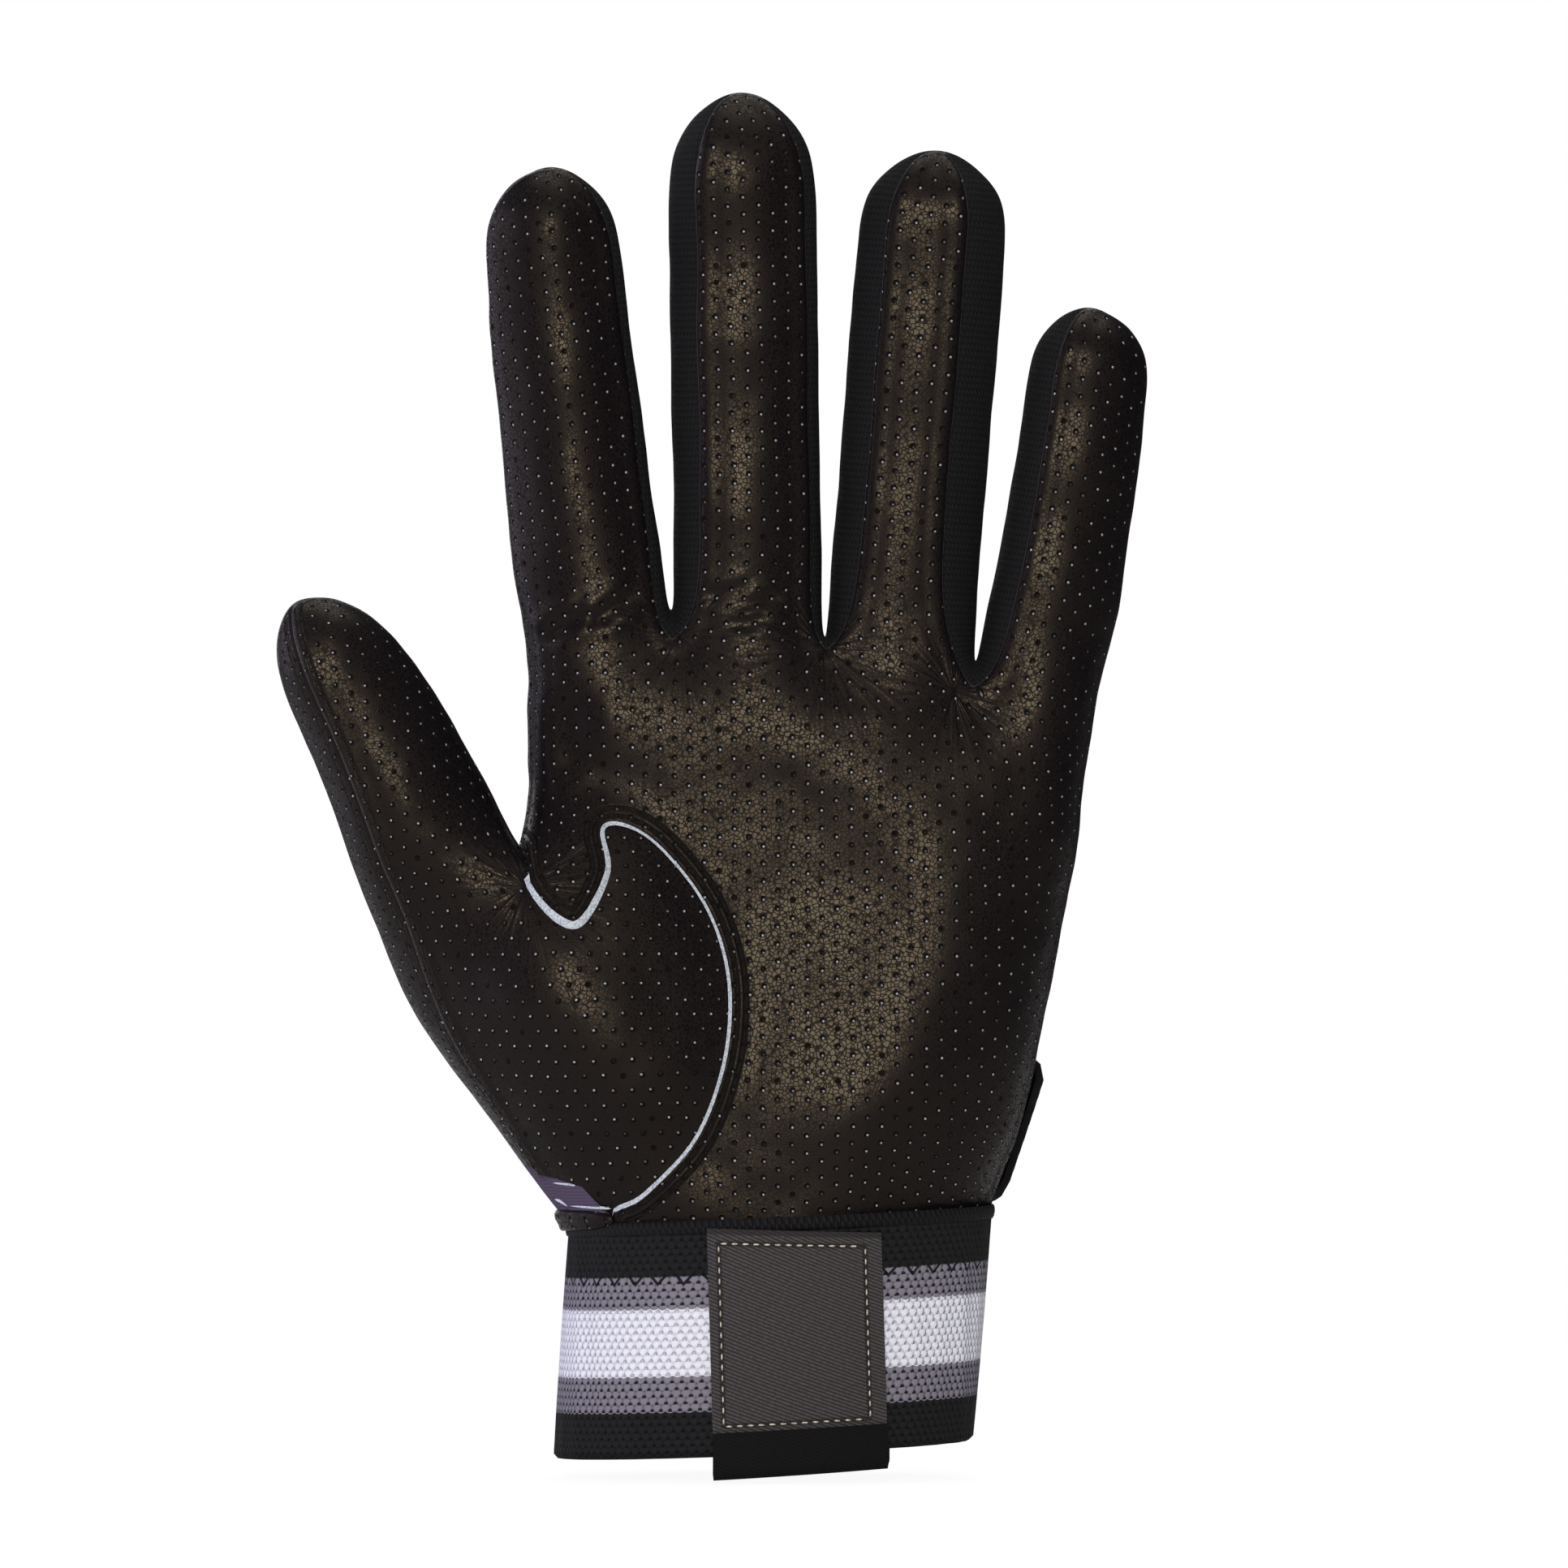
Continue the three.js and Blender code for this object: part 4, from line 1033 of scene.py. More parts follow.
# Folds of the worn leather: line across and up, depth and width
FOLDS = [
    ([(-36.6, 132.0), (-33.6, 134.9), (-30.6, 136.7), (-28.1, 138.4)], 0.8, 1.3),
    ([(-28.5, 134.1), (-26.4, 136.7), (-23.4, 138.8), (-20.0, 141.3)], 0.7, 1.3),
    ([(-10.7, 140.0), (-7.4, 140.4), (-3.9, 141.1), (-1.0, 142.0)], 0.6, 1.0),
    ([(-8.2, 138.2), (-4.8, 138.6), (-1.8, 139.0), (2.0, 139.6), (4.1, 141.0)], 0.6, 1.0),
    ([(-6.9, 136.0), (-3.9, 135.6), (-1.8, 135.8), (1.5, 137.3)], 0.5, 1.0),
    ([(-31.9, 126.0), (-32.2, 117.0), (-31.8, 109.0)], 0.8, 3.2),
]

# Swells and hollows of the worn front: place across and up, spread across and up, height
RELIEF = [(-28.5, 70.5, 16.5, 21, 2.6), (-33, 112, 10, 12, -1.2), (6, 26, 30, 26, -3.4)]
PAD_HEIGHTS = {"index": 0.6, "middle": 1.1, "ring": 0.6, "pinky": 0.6}
PAD_WIDTH, PAD_SHARE = 10, 0.36
DENT_WIDTH, DENT_SHARE, DENT_HEIGHT = 3.6, 0.7, -0.12
for name, finger in FINGERS.items():
    low = finger.bend
    for length in finger.lengths:
        middle = low + length / 2
        spot = finger.centre((middle - finger.root.y) / finger.along.y)
        place = (spot.x + SHIFT, middle + LIFT)
        RELIEF.append((*place, PAD_WIDTH, PAD_SHARE * length, PAD_HEIGHTS[name]))
        RELIEF.append((*place, DENT_WIDTH, DENT_SHARE * length, DENT_HEIGHT))
        low += length

# Long swells and hollows: line across and up, height and width
RIDGES = [
    ([(0, 124), (17, 108), (31, 92), (27, 74), (18, 57)], 1.7, 11.0),
    ([(-34, 76), (-26, 69), (-19, 63)], 1.0, 10.0),
    ([(-26, 110), (-14, 101), (-7, 89), (-4, 76), (-5, 63), (-10, 50)], -1.5, 6.5),
]


LINE_STEPS = 6
RIDGE_PLACE = 2.1
RIDGE_SHARE = 0.45
FOLD_FADE = 0.3


def swollen(points):
    """How far the swells push the front out at each point"""
    total = np.zeros(len(points))
    for x, z, across, along, height in RELIEF:
        sideways, upward = (points[:, 0] - x) / across, (points[:, 2] - z) / along
        total += height * np.exp(-(sideways**2) - upward**2)
    for line, height, width in RIDGES:
        distance, _ = from_line(points[:, [0, 2]], spline(line, LINE_STEPS))
        total += height * np.exp(-((distance / width) ** 2))
    return total


def folded(points):
    """How far the folds push the front in at each point"""
    flat = points[:, [0, 2]]
    total = np.zeros(len(points))
    for line, depth, width in FOLDS:
        path = spline(line, LINE_STEPS)
        distance, run = from_line(flat, path)
        length = np.hypot(*np.diff(path, axis=0).T).sum()
        fade = FOLD_FADE * length
        ends = soft_step(run, 0, fade) * soft_step(length - run, 0, fade)
        valley = np.exp(-((distance / width) ** 2))
        ridge = np.exp(-(((np.abs(distance) - RIDGE_PLACE * width) / width) ** 2))
        total += depth * (RIDGE_SHARE * ridge - valley) * ends
    return total


# Unevenness of worn cloth: waves in a millimetre, and height
UNEVEN = [(0.085, 0.35), (0.25, 0.1)]

# Height of the palm leather at distances from the thumb-ball seam
SEAM_DISTANCES = [0, 0.6, 1.2, 8, 28]
SEAM_HEIGHTS = [0, 0.5, 0.8, 0.55, 0]
SEAM_DIP, SEAM_DIP_WIDTH = 0.15, 2.0

# Hems: height, and the distances from the edge between which it fades
LEATHER_HEM = (0.45, 1.0, 3.6)
LEATHER_DROP = (-0.35, 0.0, 0.6)
CLOTH_DROP = (-0.3, 0.0, 1.6)
CLOTH_UNEVEN = 0.6

# Near a digit's tip, where the points look ahead, relief fades
TIP_FADE = (0.7, 0.95)


def hemmed(edge, height, start, end):
    return height * (1 - soft_step(edge, start, end))


def unevenness(point):
    return sum(noise.noise(point * waves) * height for waves, height in UNEVEN)


def shaped(piece, panel):
    """Moves a piece's points out or in: hems, folds and the soft unevenness of worn leather"""
    data = piece.data
    count = len(data.vertices)
    points = np.empty(count * 3)
    data.vertices.foreach_get("co", points)
    points = points.reshape(-1, 3)

    def read(name, size=1):
        values = np.empty(count * size, np.float32)
        data.attributes[name].data.foreach_get("vector" if size == 3 else "value", values)
        return values.reshape(-1, size) if size > 1 else values

    edge, step, outward = read("edge"), read("step"), read("outward", 3)
    uneven = np.array([unevenness(Vector(point)) for point in points])
    if panel == "front":
        lift = hemmed(edge, *LEATHER_HEM) + hemmed(edge, *LEATHER_DROP)
        lift += uneven + folded(points) + swollen(points)
        if piece.name.startswith("palm"):
            lift += np.interp(step, SEAM_DISTANCES, SEAM_HEIGHTS)
        elif piece.name.startswith("thumb_ball"):
            lift -= SEAM_DIP * np.exp(-((step / SEAM_DIP_WIDTH) ** 2))
    else:
        lift = uneven * CLOTH_UNEVEN + hemmed(edge, *CLOTH_DROP)
    digit = {**FINGERS, "thumb": THUMB}.get(piece.name.split("_")[0])
    ahead = outward[:, [0, 2]] @ np.array(digit.along[:]) if digit else outward[:, 2]
    lift *= 1 - soft_step(ahead, *TIP_FADE)
    points = points + outward * lift[:, None]
    data.vertices.foreach_set("co", points.ravel())
    data.attributes.remove(data.attributes["outward"])


def closed(piece, thickness):
    """Makes a sheet a shell, with hard corners at its edges, in metres"""
    mesh = bmesh.new()
    mesh.from_mesh(piece.data)
    for edge in mesh.edges:
        finishes = {face.material_index for face in edge.link_faces}
        edge.smooth = not (edge.is_boundary or len(finishes) > 1)
    mesh.to_mesh(piece.data)
    mesh.free()
    piece.data.transform(Matrix.Scale(METRES, 4))
    wall = piece.modifiers.new("thickness", "SOLIDIFY")
    wall.thickness = thickness * METRES
    wall.offset = -1


FINISHES = {
    "palm": leather("palm_leather_finish", seam=True),
    "finger": leather("finger_leather_finish"),
    "thumb": leather("thumb_leather_finish", turned=True),
    "strip": leather("edge_leather_finish"),
    "raw": raw_edge(),
    "gusset": knit("gusset_knit_finish", shade(2, 2, 3), shade(22, 22, 24), 0.9, 1.05, 0.3, 0.7),
    "back": knit("back_knit_finish", shade(7, 7, 9), shade(32, 32, 35), 0.9, 1.0, 0.18),
    "insert": knit("insert_weave_finish", shade(34, 28, 40), shade(78, 68, 88), 0.5, 0.5, 0.05),
}


LEATHER_WALL = 0.9
CLOTH_WALL = 0.8


def kind_and_slot(name):
    """Kind of finish and slot of a piece of the hand"""
    if name == "wrist_insert":
        return "insert", "woven_insert"
    if "gusset" in name or name.endswith("web"):
        return "gusset", "gusset_knit"
    if "back" in name:
        return "back", "back_knit"
    if name == "palm_leather":
        return "palm", "leather"
    if name.endswith("strip"):
        return "strip", "leather"
    return "thumb" if name.startswith("thumb") else "finger", "leather"


def dress_hand():
    """Shapes, finishes and hangs every piece of the hand"""
    for name, piece in parted(hand, piece_names).items():
        piece.name = piece.data.name = f"{name}_piece"
        kind, slot = kind_and_slot(name)
        shaped(piece, "front" if name.endswith("leather") else "other")
        data = piece.data
        finishes = np.empty(len(data.polygons), np.int32)
        data.attributes["finish"].data.foreach_get("value", finishes)
        data.materials.clear()
        data.materials.append(FINISHES[kind])
        if finishes.any():
            data.materials.append(FINISHES["raw"])
        data.polygons.foreach_set("material_index", finishes)
        for spare in ("finish", "panel", "region"):
            data.attributes.remove(data.attributes[spare])
        closed(piece, LEATHER_WALL if slot == "leather" else CLOTH_WALL)
        hang(piece, name)
        if not name.endswith("strip"):
            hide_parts(name)


# Where a bend starts and ends along a digit, from its joint
THUMB_ROOT_REACH = (-4, 8)
FINGER_ROOT_REACH = (-2, 9)
BEND_REACH = (-8, 8)


def hang(piece, name):
    """A piece of a digit bends across one joint, and every other piece stays with the hand"""
    digit, _, rest = name.partition("_")
    segment = rest.partition("_")[0]
    if digit not in REGIONS or segment not in SEGMENTS:
        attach(piece, "glove_body")
        return
    if digit == "thumb":
        distance = THUMB.bend + (THUMB.lengths[0] if segment == "tip" else 0)
        reach = THUMB_ROOT_REACH if segment == "base" else BEND_REACH
        ends = [THUMB.root + THUMB.along * (distance + offset) for offset in reach]
    else:
        finger = FINGERS[digit]
        bend = finger.bend + sum(finger.lengths[: SEGMENTS.index(segment)])
        reach = FINGER_ROOT_REACH if segment == "base" else BEND_REACH
        ends = [Vector((finger.root.x, bend + offset)) for offset in reach]
    parents = {"base": "glove_body", "mid": f"{digit}_base", "tip": f"{digit}_mid"}
    if digit == "thumb":
        parents["tip"] = "thumb_base"
    places = [((end.x + SHIFT) * METRES, 0, (end.y + LIFT) * METRES) for end in ends]
    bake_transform(piece, parents[segment], f"{digit}_{segment}", *places)


dress_hand()


# Pieces made from a grid that is wrapped round the wrist
def wrapped(across, along, size, place):
    """A grid of faces; place puts a share across it and a share along it in the frame"""
    mesh = bmesh.new()
    flat = mesh.loops.layers.uv.new("flat")
    bmesh.ops.create_grid(mesh, x_segments=across, y_segments=along, size=0.5)
    for face in mesh.faces:
        face.smooth = True
        for loop in face.loops:
            loop[flat].uv = ((loop.vert.co.x + 0.5) * size[0], (loop.vert.co.y + 0.5) * size[1])
    for vert in mesh.verts:
        vert.co = place(vert.co.x + 0.5, vert.co.y + 0.5)
    bmesh.ops.remove_doubles(mesh, verts=mesh.verts, dist=TOUCH)
    return mesh


def finished(name, mesh, finish, body, thickness=0.0):
    """An object from a mesh in millimetres, which moves with a body"""
    data = bpy.data.meshes.new(name)
    mesh.to_mesh(data)
    mesh.free()
    piece = bpy.data.objects.new(name, data)
    bpy.context.collection.objects.link(piece)
    data.materials.append(finish)
    if thickness:
        closed(piece, thickness)
    else:
        data.transform(Matrix.Scale(METRES, 4))
    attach(piece, body)
    return piece


def cuff_centre(z):
    return mixed(CUFF_MOUTH_CENTRE, CUFF_TOP_CENTRE, z / CUFF_HEIGHT) + SHIFT


def cuff_half_width(z):
    return mixed(CUFF_MOUTH_WIDTH, CUFF_TOP_WIDTH, z / CUFF_HEIGHT) / 2


def on_cuff(angle, z, out):
    """A point of the cuff's wall, which rises a little towards the pinky side"""
    across = cuff_half_width(z) + out
    rise = mixed(*CUFF_RISE, 0.5 + 0.5 * math.cos(angle))
    return Vector((
        cuff_centre(z) + across * math.cos(angle), (CUFF_DEPTH / 2 + out) * math.sin(angle), z + rise
    ))


def along_path(path, share):
    """A point at a share of the length of a path of two-part points"""
    at = np.array(path, float)
    lengths = np.concatenate([[0], np.cumsum(np.hypot(*np.diff(at, axis=0).T))])
    return [np.interp(share * lengths[-1], lengths, at[:, k]) for k in range(2)]


CUFF_EDGE = 0.8
CUFF_CORNER = 0.25
CUFF_RIPPLE = 0.18
CUFF_COLUMNS = 240
OVERLOCK_HEIGHT = 37.5
OVERLOCK_SIZE = (0.45, 1.2)


def add_cuff():
    """The wrist elastic, and the overlocked edge round its top"""
    wall, top, edge, corner = -CUFF_WALL, CUFF_HEIGHT, CUFF_EDGE, CUFF_CORNER
    profile = [(0, edge), (0, top - edge), (-corner, top - corner), (-edge, top)]
    profile += [(wall + corner, top - corner), (wall, top - edge), (wall, edge), (wall + corner, corner)]
    profile += [(-edge, 0), (-corner, corner), (0, edge)]

    def place(u, v):
        out, z = along_path(profile, v)
        angle = 2 * math.pi * u - math.pi / 2
        ripple = CUFF_RIPPLE * math.sin(23 * angle + 0.12 * z) * math.sin(7 * angle + 1.3)
        return on_cuff(angle, z, out + ripple)

    girth = math.pi * (CUFF_TOP_WIDTH + CUFF_DEPTH) / 2
    mesh = wrapped(CUFF_COLUMNS, 72, (girth, 2 * CUFF_HEIGHT + CUFF_WALL), place)
    piece = finished("wrist_elastic_piece", mesh, cuff_knit(), "glove_body")
    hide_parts("wrist_elastic")

    def roll(u, v):
        angle = 2 * math.pi * u - math.pi / 2
        turn = 2 * math.pi * v
        out, up = OVERLOCK_SIZE
        return on_cuff(angle, OVERLOCK_HEIGHT + up * math.sin(turn), out * math.cos(turn))

    mesh = wrapped(CUFF_COLUMNS, 10, (girth, 6.0), roll)
    finished("wrist_overlock_piece", mesh, overlock(), "glove_body")


LOOP_WIDTH = 1.4
LOOP_ROWS = 1.15

# Heights at which the stripes change, from the lower edge up
LOWER_GREY = (6.75, 6.85)
WHITE_STRIPE = (12.55, 12.65)
UPPER_GREY = (23.5, 23.6)
UPPER_BLACK = (28.85, 28.95)
WHITE_MIDDLE = 18.1
ZIGZAG_PITCH = 3.8
ZIGZAG_HEIGHT = 27.6


def cuff_knit():
    """Elastic knit with stripes: staggered rows of loops, and a zigzag of thread under the top, with painted
    shade in the gaps and on the loops' rounded sides
    """
    finish = Finish("cuff_knit_finish", Roughness=0.9, Specular_IOR_Level=0.2)
    across, along = finish.across_and_along()
    wobble = finish.cloud(finish.flat(), 0.8, 2.0) - 0.5
    across, along = across + wobble * 0.3, along + wobble * 0.25
    row = (along / LOOP_ROWS).math("FLOOR")
    beside = (across + row.math("MODULO", 2.0) * (LOOP_WIDTH / 2)).fold(LOOP_WIDTH) / (LOOP_WIDTH / 2)
    above = along / LOOP_ROWS - row
    bulge = 1 - beside * beside - (above - 0.55).math("POWER", 2.0) * 2.2
    corner = (abs(beside) - 1) * 1.9
    low = (above - 0.12) * 2.6
    gap = (corner * corner + low * low).between(1.0, 0.25)
    level = along + (1 - beside * beside) * 0.32 - 0.2
    black, grey, white = shade(22, 22, 24), shade(118, 114, 126), shade(216, 217, 228)
    base = finish.colour(level.between(*LOWER_GREY), black, grey)
    base = finish.colour(level.between(*WHITE_STRIPE), base, white)
    base = finish.colour(level.between(*UPPER_GREY), base, grey)
    zigzag = abs(across.fold(ZIGZAG_PITCH)) * 1.25 + ZIGZAG_HEIGHT
    thread = abs(along - zigzag).between(0.4, 0.2) * along.between(30.6, 30.2)
    base = finish.colour(level.between(*UPPER_BLACK).math("MAXIMUM", thread), base, black)
    dark = abs(level - WHITE_MIDDLE).between(5.5, 5.6)
    # Painted shade: depth is the colour of the gaps between the loops and of their rounded sides, lighter in
    # the white stripe
    depth = finish.colour(dark, shade(178, 178, 193), shade(4, 4, 5))
    base = finish.colour(gap * (0.5 + dark * 0.4), base, depth)
    base = finish.colour(bulge.between(0.35, -0.4) * (0.18 + dark * 0.5), base, depth)
    height = bulge.between(-0.6, 1.0) * 0.36 - gap * 0.22 + thread * 0.3
    return finish.finish(base, None, height)


def overlock():
    """Black thread wound over an edge, with painted shade between its turns"""
    finish = Finish("overlock_thread_finish", Roughness=0.75, Specular_IOR_Level=0.2)
    across, along = finish.across_and_along()
    thread = abs((across + along * 0.25).fold(0.95)) / 0.95
    # Painted shade between the turns of thread
    base = finish.colour(thread.between(0.2, 0.48), shade(13, 13, 14), shade(3, 3, 4))
    return finish.finish(base, None, thread.between(0.5, 0.1) * 0.4)


TAB_WIDTH = 28.3
TAB_CENTRE = 4.9 + SHIFT
TAB_TOP = 37.4
TAB_WALL = 0.8
TAB_SHIFTS = (0.6, -0.5)
TAB_RISES = (1.8, -0.8)
TAB_HEM = 4.2

# Fold under the elastic: its middle and its radius, and where the inner end stops
FOLD_MIDDLE = (-0.8, -2.05)
FOLD_RADIUS = 1.55
TAB_INNER_END = (-2.35, 14)

# Stitch rows: shares of the width at the left and right, and heights at the bottom and top
TAB_ROWS = (0.065, 0.905, 5.2, 35.0)
TAB_STITCH = 1.75
STITCH_OUT = 1.0
UPRIGHT_STITCH = (0.16, 0.14, 0.52)
LEVEL_STITCH = (0.6, 0.14, 0.16)


def on_tab(u, out, z):
    """A point of the pull tab, which hangs a little askew"""
    height = max(0.0, min(CUFF_HEIGHT, z))
    x = TAB_CENTRE + (u - 0.5) * TAB_WIDTH + mixed(*TAB_SHIFTS, height / CUFF_HEIGHT)
    share = (x - cuff_centre(height)) / cuff_half_width(height)
    rise = u * mixed(*TAB_RISES, height / CUFF_HEIGHT)
    return Vector((x, -CUFF_DEPTH / 2 * math.sqrt(1 - share * share) - out, z + rise))


def add_tab():
    """The pull tab, folded over the elastic's lower edge, and its stitches"""
    out, z = FOLD_MIDDLE
    turns = np.linspace(0, math.pi, 9)
    fold = [(out + FOLD_RADIUS * math.cos(t), z - FOLD_RADIUS * math.sin(t)) for t in turns]
    path = [(0.95, TAB_TOP), (0.9, 20), (0.75, 4), *fold, TAB_INNER_END]
    length = float(np.hypot(*np.diff(np.array(path), axis=0).T).sum())

    def place(u, v):
        out, z = along_path(path, 1 - v)
        return on_tab(u, out, z)

    mesh = wrapped(40, 90, (TAB_WIDTH, length), place)
    piece = finished("pull_tab_piece", mesh, twill(length), "glove_body", TAB_WALL)
    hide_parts("pull_tab")

    mesh = bmesh.new()
    left, right, bottom, top = TAB_ROWS
    rows = [(left, left, bottom, top), (right, right, bottom, top)]
    rows += [(left, right, top, top), (left, right, bottom, bottom)]
    for u0, u1, z0, z1 in rows:
        row_length = math.hypot((u1 - u0) * TAB_WIDTH, z1 - z0)
        for i in range(int(row_length / TAB_STITCH)):
            t = (i + 0.5) * TAB_STITCH / row_length
            spot = on_tab(mixed(u0, u1, t), STITCH_OUT, mixed(z0, z1, t))
            made = bmesh.ops.create_uvsphere(mesh, u_segments=6, v_segments=4, radius=1.0)["verts"]
            size = UPRIGHT_STITCH if u0 == u1 else LEVEL_STITCH
            bmesh.ops.scale(mesh, vec=size, verts=made)
            bmesh.ops.translate(mesh, vec=spot, verts=made)
    for face in mesh.faces:
        face.smooth = True
    finished("tab_stitches_piece", mesh, thread(), "glove_body")


def thread():
    """Cream sewing thread"""
    finish = Finish("cream_thread_finish", Roughness=0.6)
    twist = finish.cloud(finish.place(), 3.0, 2.0)
    base = finish.colour(twist.between(0.35, 0.65), shade(146, 139, 122), shade(204, 197, 180))
    return finish.finish(base, None, twist * 0.08)


def twill(length):
    """Grey twill of the pull tab, black below its hem and darker along its top edge, with painted shade
    between its ribs and yarns and in the grooves beside its stitches
    """
    finish = Finish("tab_twill_finish", Roughness=0.85, Specular_IOR_Level=0.15)
    across, along = finish.across_and_along()
    rib = abs((along + across * 0.42).fold(0.62)) / 0.62
    yarn = abs((across - along * 0.1).fold(0.36)) / 0.36
    mottle = finish.cloud(finish.flat(), 1.6, 3.0, 0.65)
    light = finish.colour(mottle.between(0.3, 0.7), shade(62, 59, 60), shade(78, 74, 74))
    # Painted shade in the valleys between the ribs and between the yarns
    base = finish.colour(rib.between(0.18, 0.46), light, shade(34, 32, 34))
    base = finish.colour(yarn.between(0.3, 0.5) * 0.35, base, shade(36, 34, 34))
    down = along - (length - TAB_TOP)
    black = finish.colour(rib.between(0.2, 0.45), shade(13, 12, 13), shade(6, 6, 7))
    base = finish.colour(down.between(4.3, 4.1), base, black)
    base = finish.colour(down.between(36.3, 36.6) * 0.7, base, shade(34, 32, 32))
    left, right = [share * TAB_WIDTH for share in TAB_ROWS[:2]]
    bottom, top = TAB_ROWS[2:]
    half_width, half_height = (right - left) / 2, (top - bottom) / 2
    beside = abs(across - left).math("MINIMUM", abs(across - right)).between(0.6, 0.1)
    beside = beside * abs(down - (bottom + top) / 2).between(half_height + 0.5, half_height)
    level = abs(down - bottom).math("MINIMUM", abs(down - top)).between(0.6, 0.1)
    level = level * abs(across - (left + right) / 2).between(half_width + 0.5, half_width)
    groove = beside.math("MAXIMUM", level)
    # Painted shade in the grooves beside the stitch rows
    base = finish.colour(groove * 0.65, base, shade(20, 18, 19))
    hem = abs(down - TAB_HEM).between(0.5, 0.0)
    height = (0.5 - rib) * 0.16 - yarn * 0.06 - hem * 0.3 - groove * 0.25
    return finish.finish(base, None, height)


# Closure strap on the back of the wrist, and the rolled leather at the thumb's side of it
STRAP_LOW = 2.7 + LIFT
STRAP_WIDTH = 24.5
STRAP_BEND_X = -19 + SHIFT
STRAP_OUT = 3.8
STRAP_WALL = 1.5
STRAP_CORNER = 4.0
STRAP_SLANT = math.radians(4)
STRAP_FREE_END = math.radians(8)
STRAP_ROW = 2.0
SEWN_END = (0.3, 8.3)
SEWN_END_WALL = 3.4
PATCH_INSET = 2.5
PATCH_WALL = 0.7
HOOK_ENDS, HOOK_OUT = (37, 10), 2.0
LOOP_ENDS, LOOP_OUT = (37, 2), 1.0
WRIST_MIDDLE_X = 3.0
WRIST_MIDDLE_LEAN = 0.04
FAR_OUT = 150
BACK_ANGLES = (math.radians(8), math.radians(165))
BAND_STEP = 0.9
BAND_ROWS = 24


def wrist_surface(angle, z, out):
    """A point over the wrist's skin, in a direction from the wrist's middle"""
    level = max(z, LIFT + 0.1)
    middle = Vector((WRIST_MIDDLE_X + WRIST_MIDDLE_LEAN * (level - LIFT), 0, level))
    way = Vector((math.cos(angle), math.sin(angle), 0))
    spot, normal, _, _ = hand_tree.ray_cast(middle + way * FAR_OUT, -way)
    spot.z = z
    return spot + normal * out


def angle_at(x):
    """Direction of the back's skin at a place across, at the strap's middle height"""
    angles = np.linspace(*BACK_ANGLES, 200)
    places = [wrist_surface(a, STRAP_LOW + STRAP_WIDTH / 2, 0).x for a in angles]
    return float(np.interp(-x, [-place for place in places], angles))


def band(
    name, from_angle, to_angle, inset, out, thickness, finish, body, slot, rounded=0.0, slant=0.0
):
    """A strip over the wrist's skin between two directions"""
    half = STRAP_WIDTH / 2 - inset
    middle = STRAP_LOW + STRAP_WIDTH / 2
    angles = [mixed(from_angle, to_angle, t) for t in np.linspace(0, 1, 40)]
    samples = [wrist_surface(angle, middle, out) for angle in angles]
    length = sum((b - a).length for a, b in zip(samples, samples[1:]))

    def place(u, v):
        reach = half
        if rounded and u * length < rounded:
            reach = half - rounded + math.sqrt(rounded**2 - (rounded - u * length) ** 2)
        start = from_angle + slant * (0.5 - v)
        return wrist_surface(mixed(start, to_angle, u), middle + (2 * v - 1) * reach, out)

    columns = max(8, int(length / BAND_STEP))
    mesh = wrapped(columns, BAND_ROWS, (length, 2 * half), place)
    return finished(name, mesh, finish(length, 2 * half), body, thickness)


def strap_cloth(length, width):
    """Black webbing with a row of stitches near its edges"""
    finish = Finish("strap_finish", Roughness=0.75, Specular_IOR_Level=0.12)
    across, along = finish.across_and_along()
    ends = across.math("MINIMUM", length - across)
    sides = along.math("MINIMUM", width - along)
    edge = ends.math("MINIMUM", sides)
    weave = abs(across.fold(0.55)) * abs(along.fold(0.55))
    mottle = finish.cloud(finish.flat(), 0.5, 3.0)
    base = finish.colour(mottle.between(0.3, 0.7), shade(11, 11, 12), shade(18, 18, 19))
    groove, stitch = stitch_row(edge, across + along, STRAP_ROW, 0.4)
    base = finish.colour(stitch * 0.9, base, shade(40, 40, 43))
    height = weave * 0.5 - groove * 0.3 + stitch * 0.35 - edge.between(0.9, 0.0) * 0.4
    return finish.finish(base, None, height)


def fastener(name, pitch, depth, fuzz):
    """Hook or loop cloth of a touch fastener, darker in the hollows between the hooks as painted shade, and
    mottled by its pile
    """

    def make(length, width):
        finish = Finish(name, Roughness=0.95, Specular_IOR_Level=0.2)
        across, along = finish.across_and_along()
        hooks = (abs(across.fold(pitch)) + abs(along.fold(pitch))) / pitch
        pile = finish.cloud(finish.flat(), 2.2, 4.0, 0.75)
        # Painted shade in the hollows between the hooks, mixed with the pile's own mottle
        hollow_shade_and_pile = hooks.between(0.2, 0.7) * (1 - fuzz) + pile * fuzz
        base = finish.colour(hollow_shade_and_pile, shade(30, 30, 32), shade(8, 8, 9))
        return finish.finish(base, None, (1 - hooks) * depth * (1 - fuzz) + pile * depth * fuzz)

    return make


def add_roll(name, path, radii, finish):
    """A roll of leather round the wrist; the path gives direction, height and distance out"""
    shares = np.linspace(0, 1, len(path))
    wide, high = radii

    def place(u, v):
        angle, z, out = [np.interp(u, shares, column) for column in zip(*path)]
        turn = 2 * math.pi * v
        ends = math.sqrt(max(0.0, 1 - (2 * u - 1) ** 6))
        up, away = high * ends * math.sin(turn), wide * ends * math.cos(turn)
        return wrist_surface(math.radians(angle), z + up, out + away)

    mesh = wrapped(64, 12, (40.0, 7.0), place)
    finished(name, mesh, finish, "glove_body")


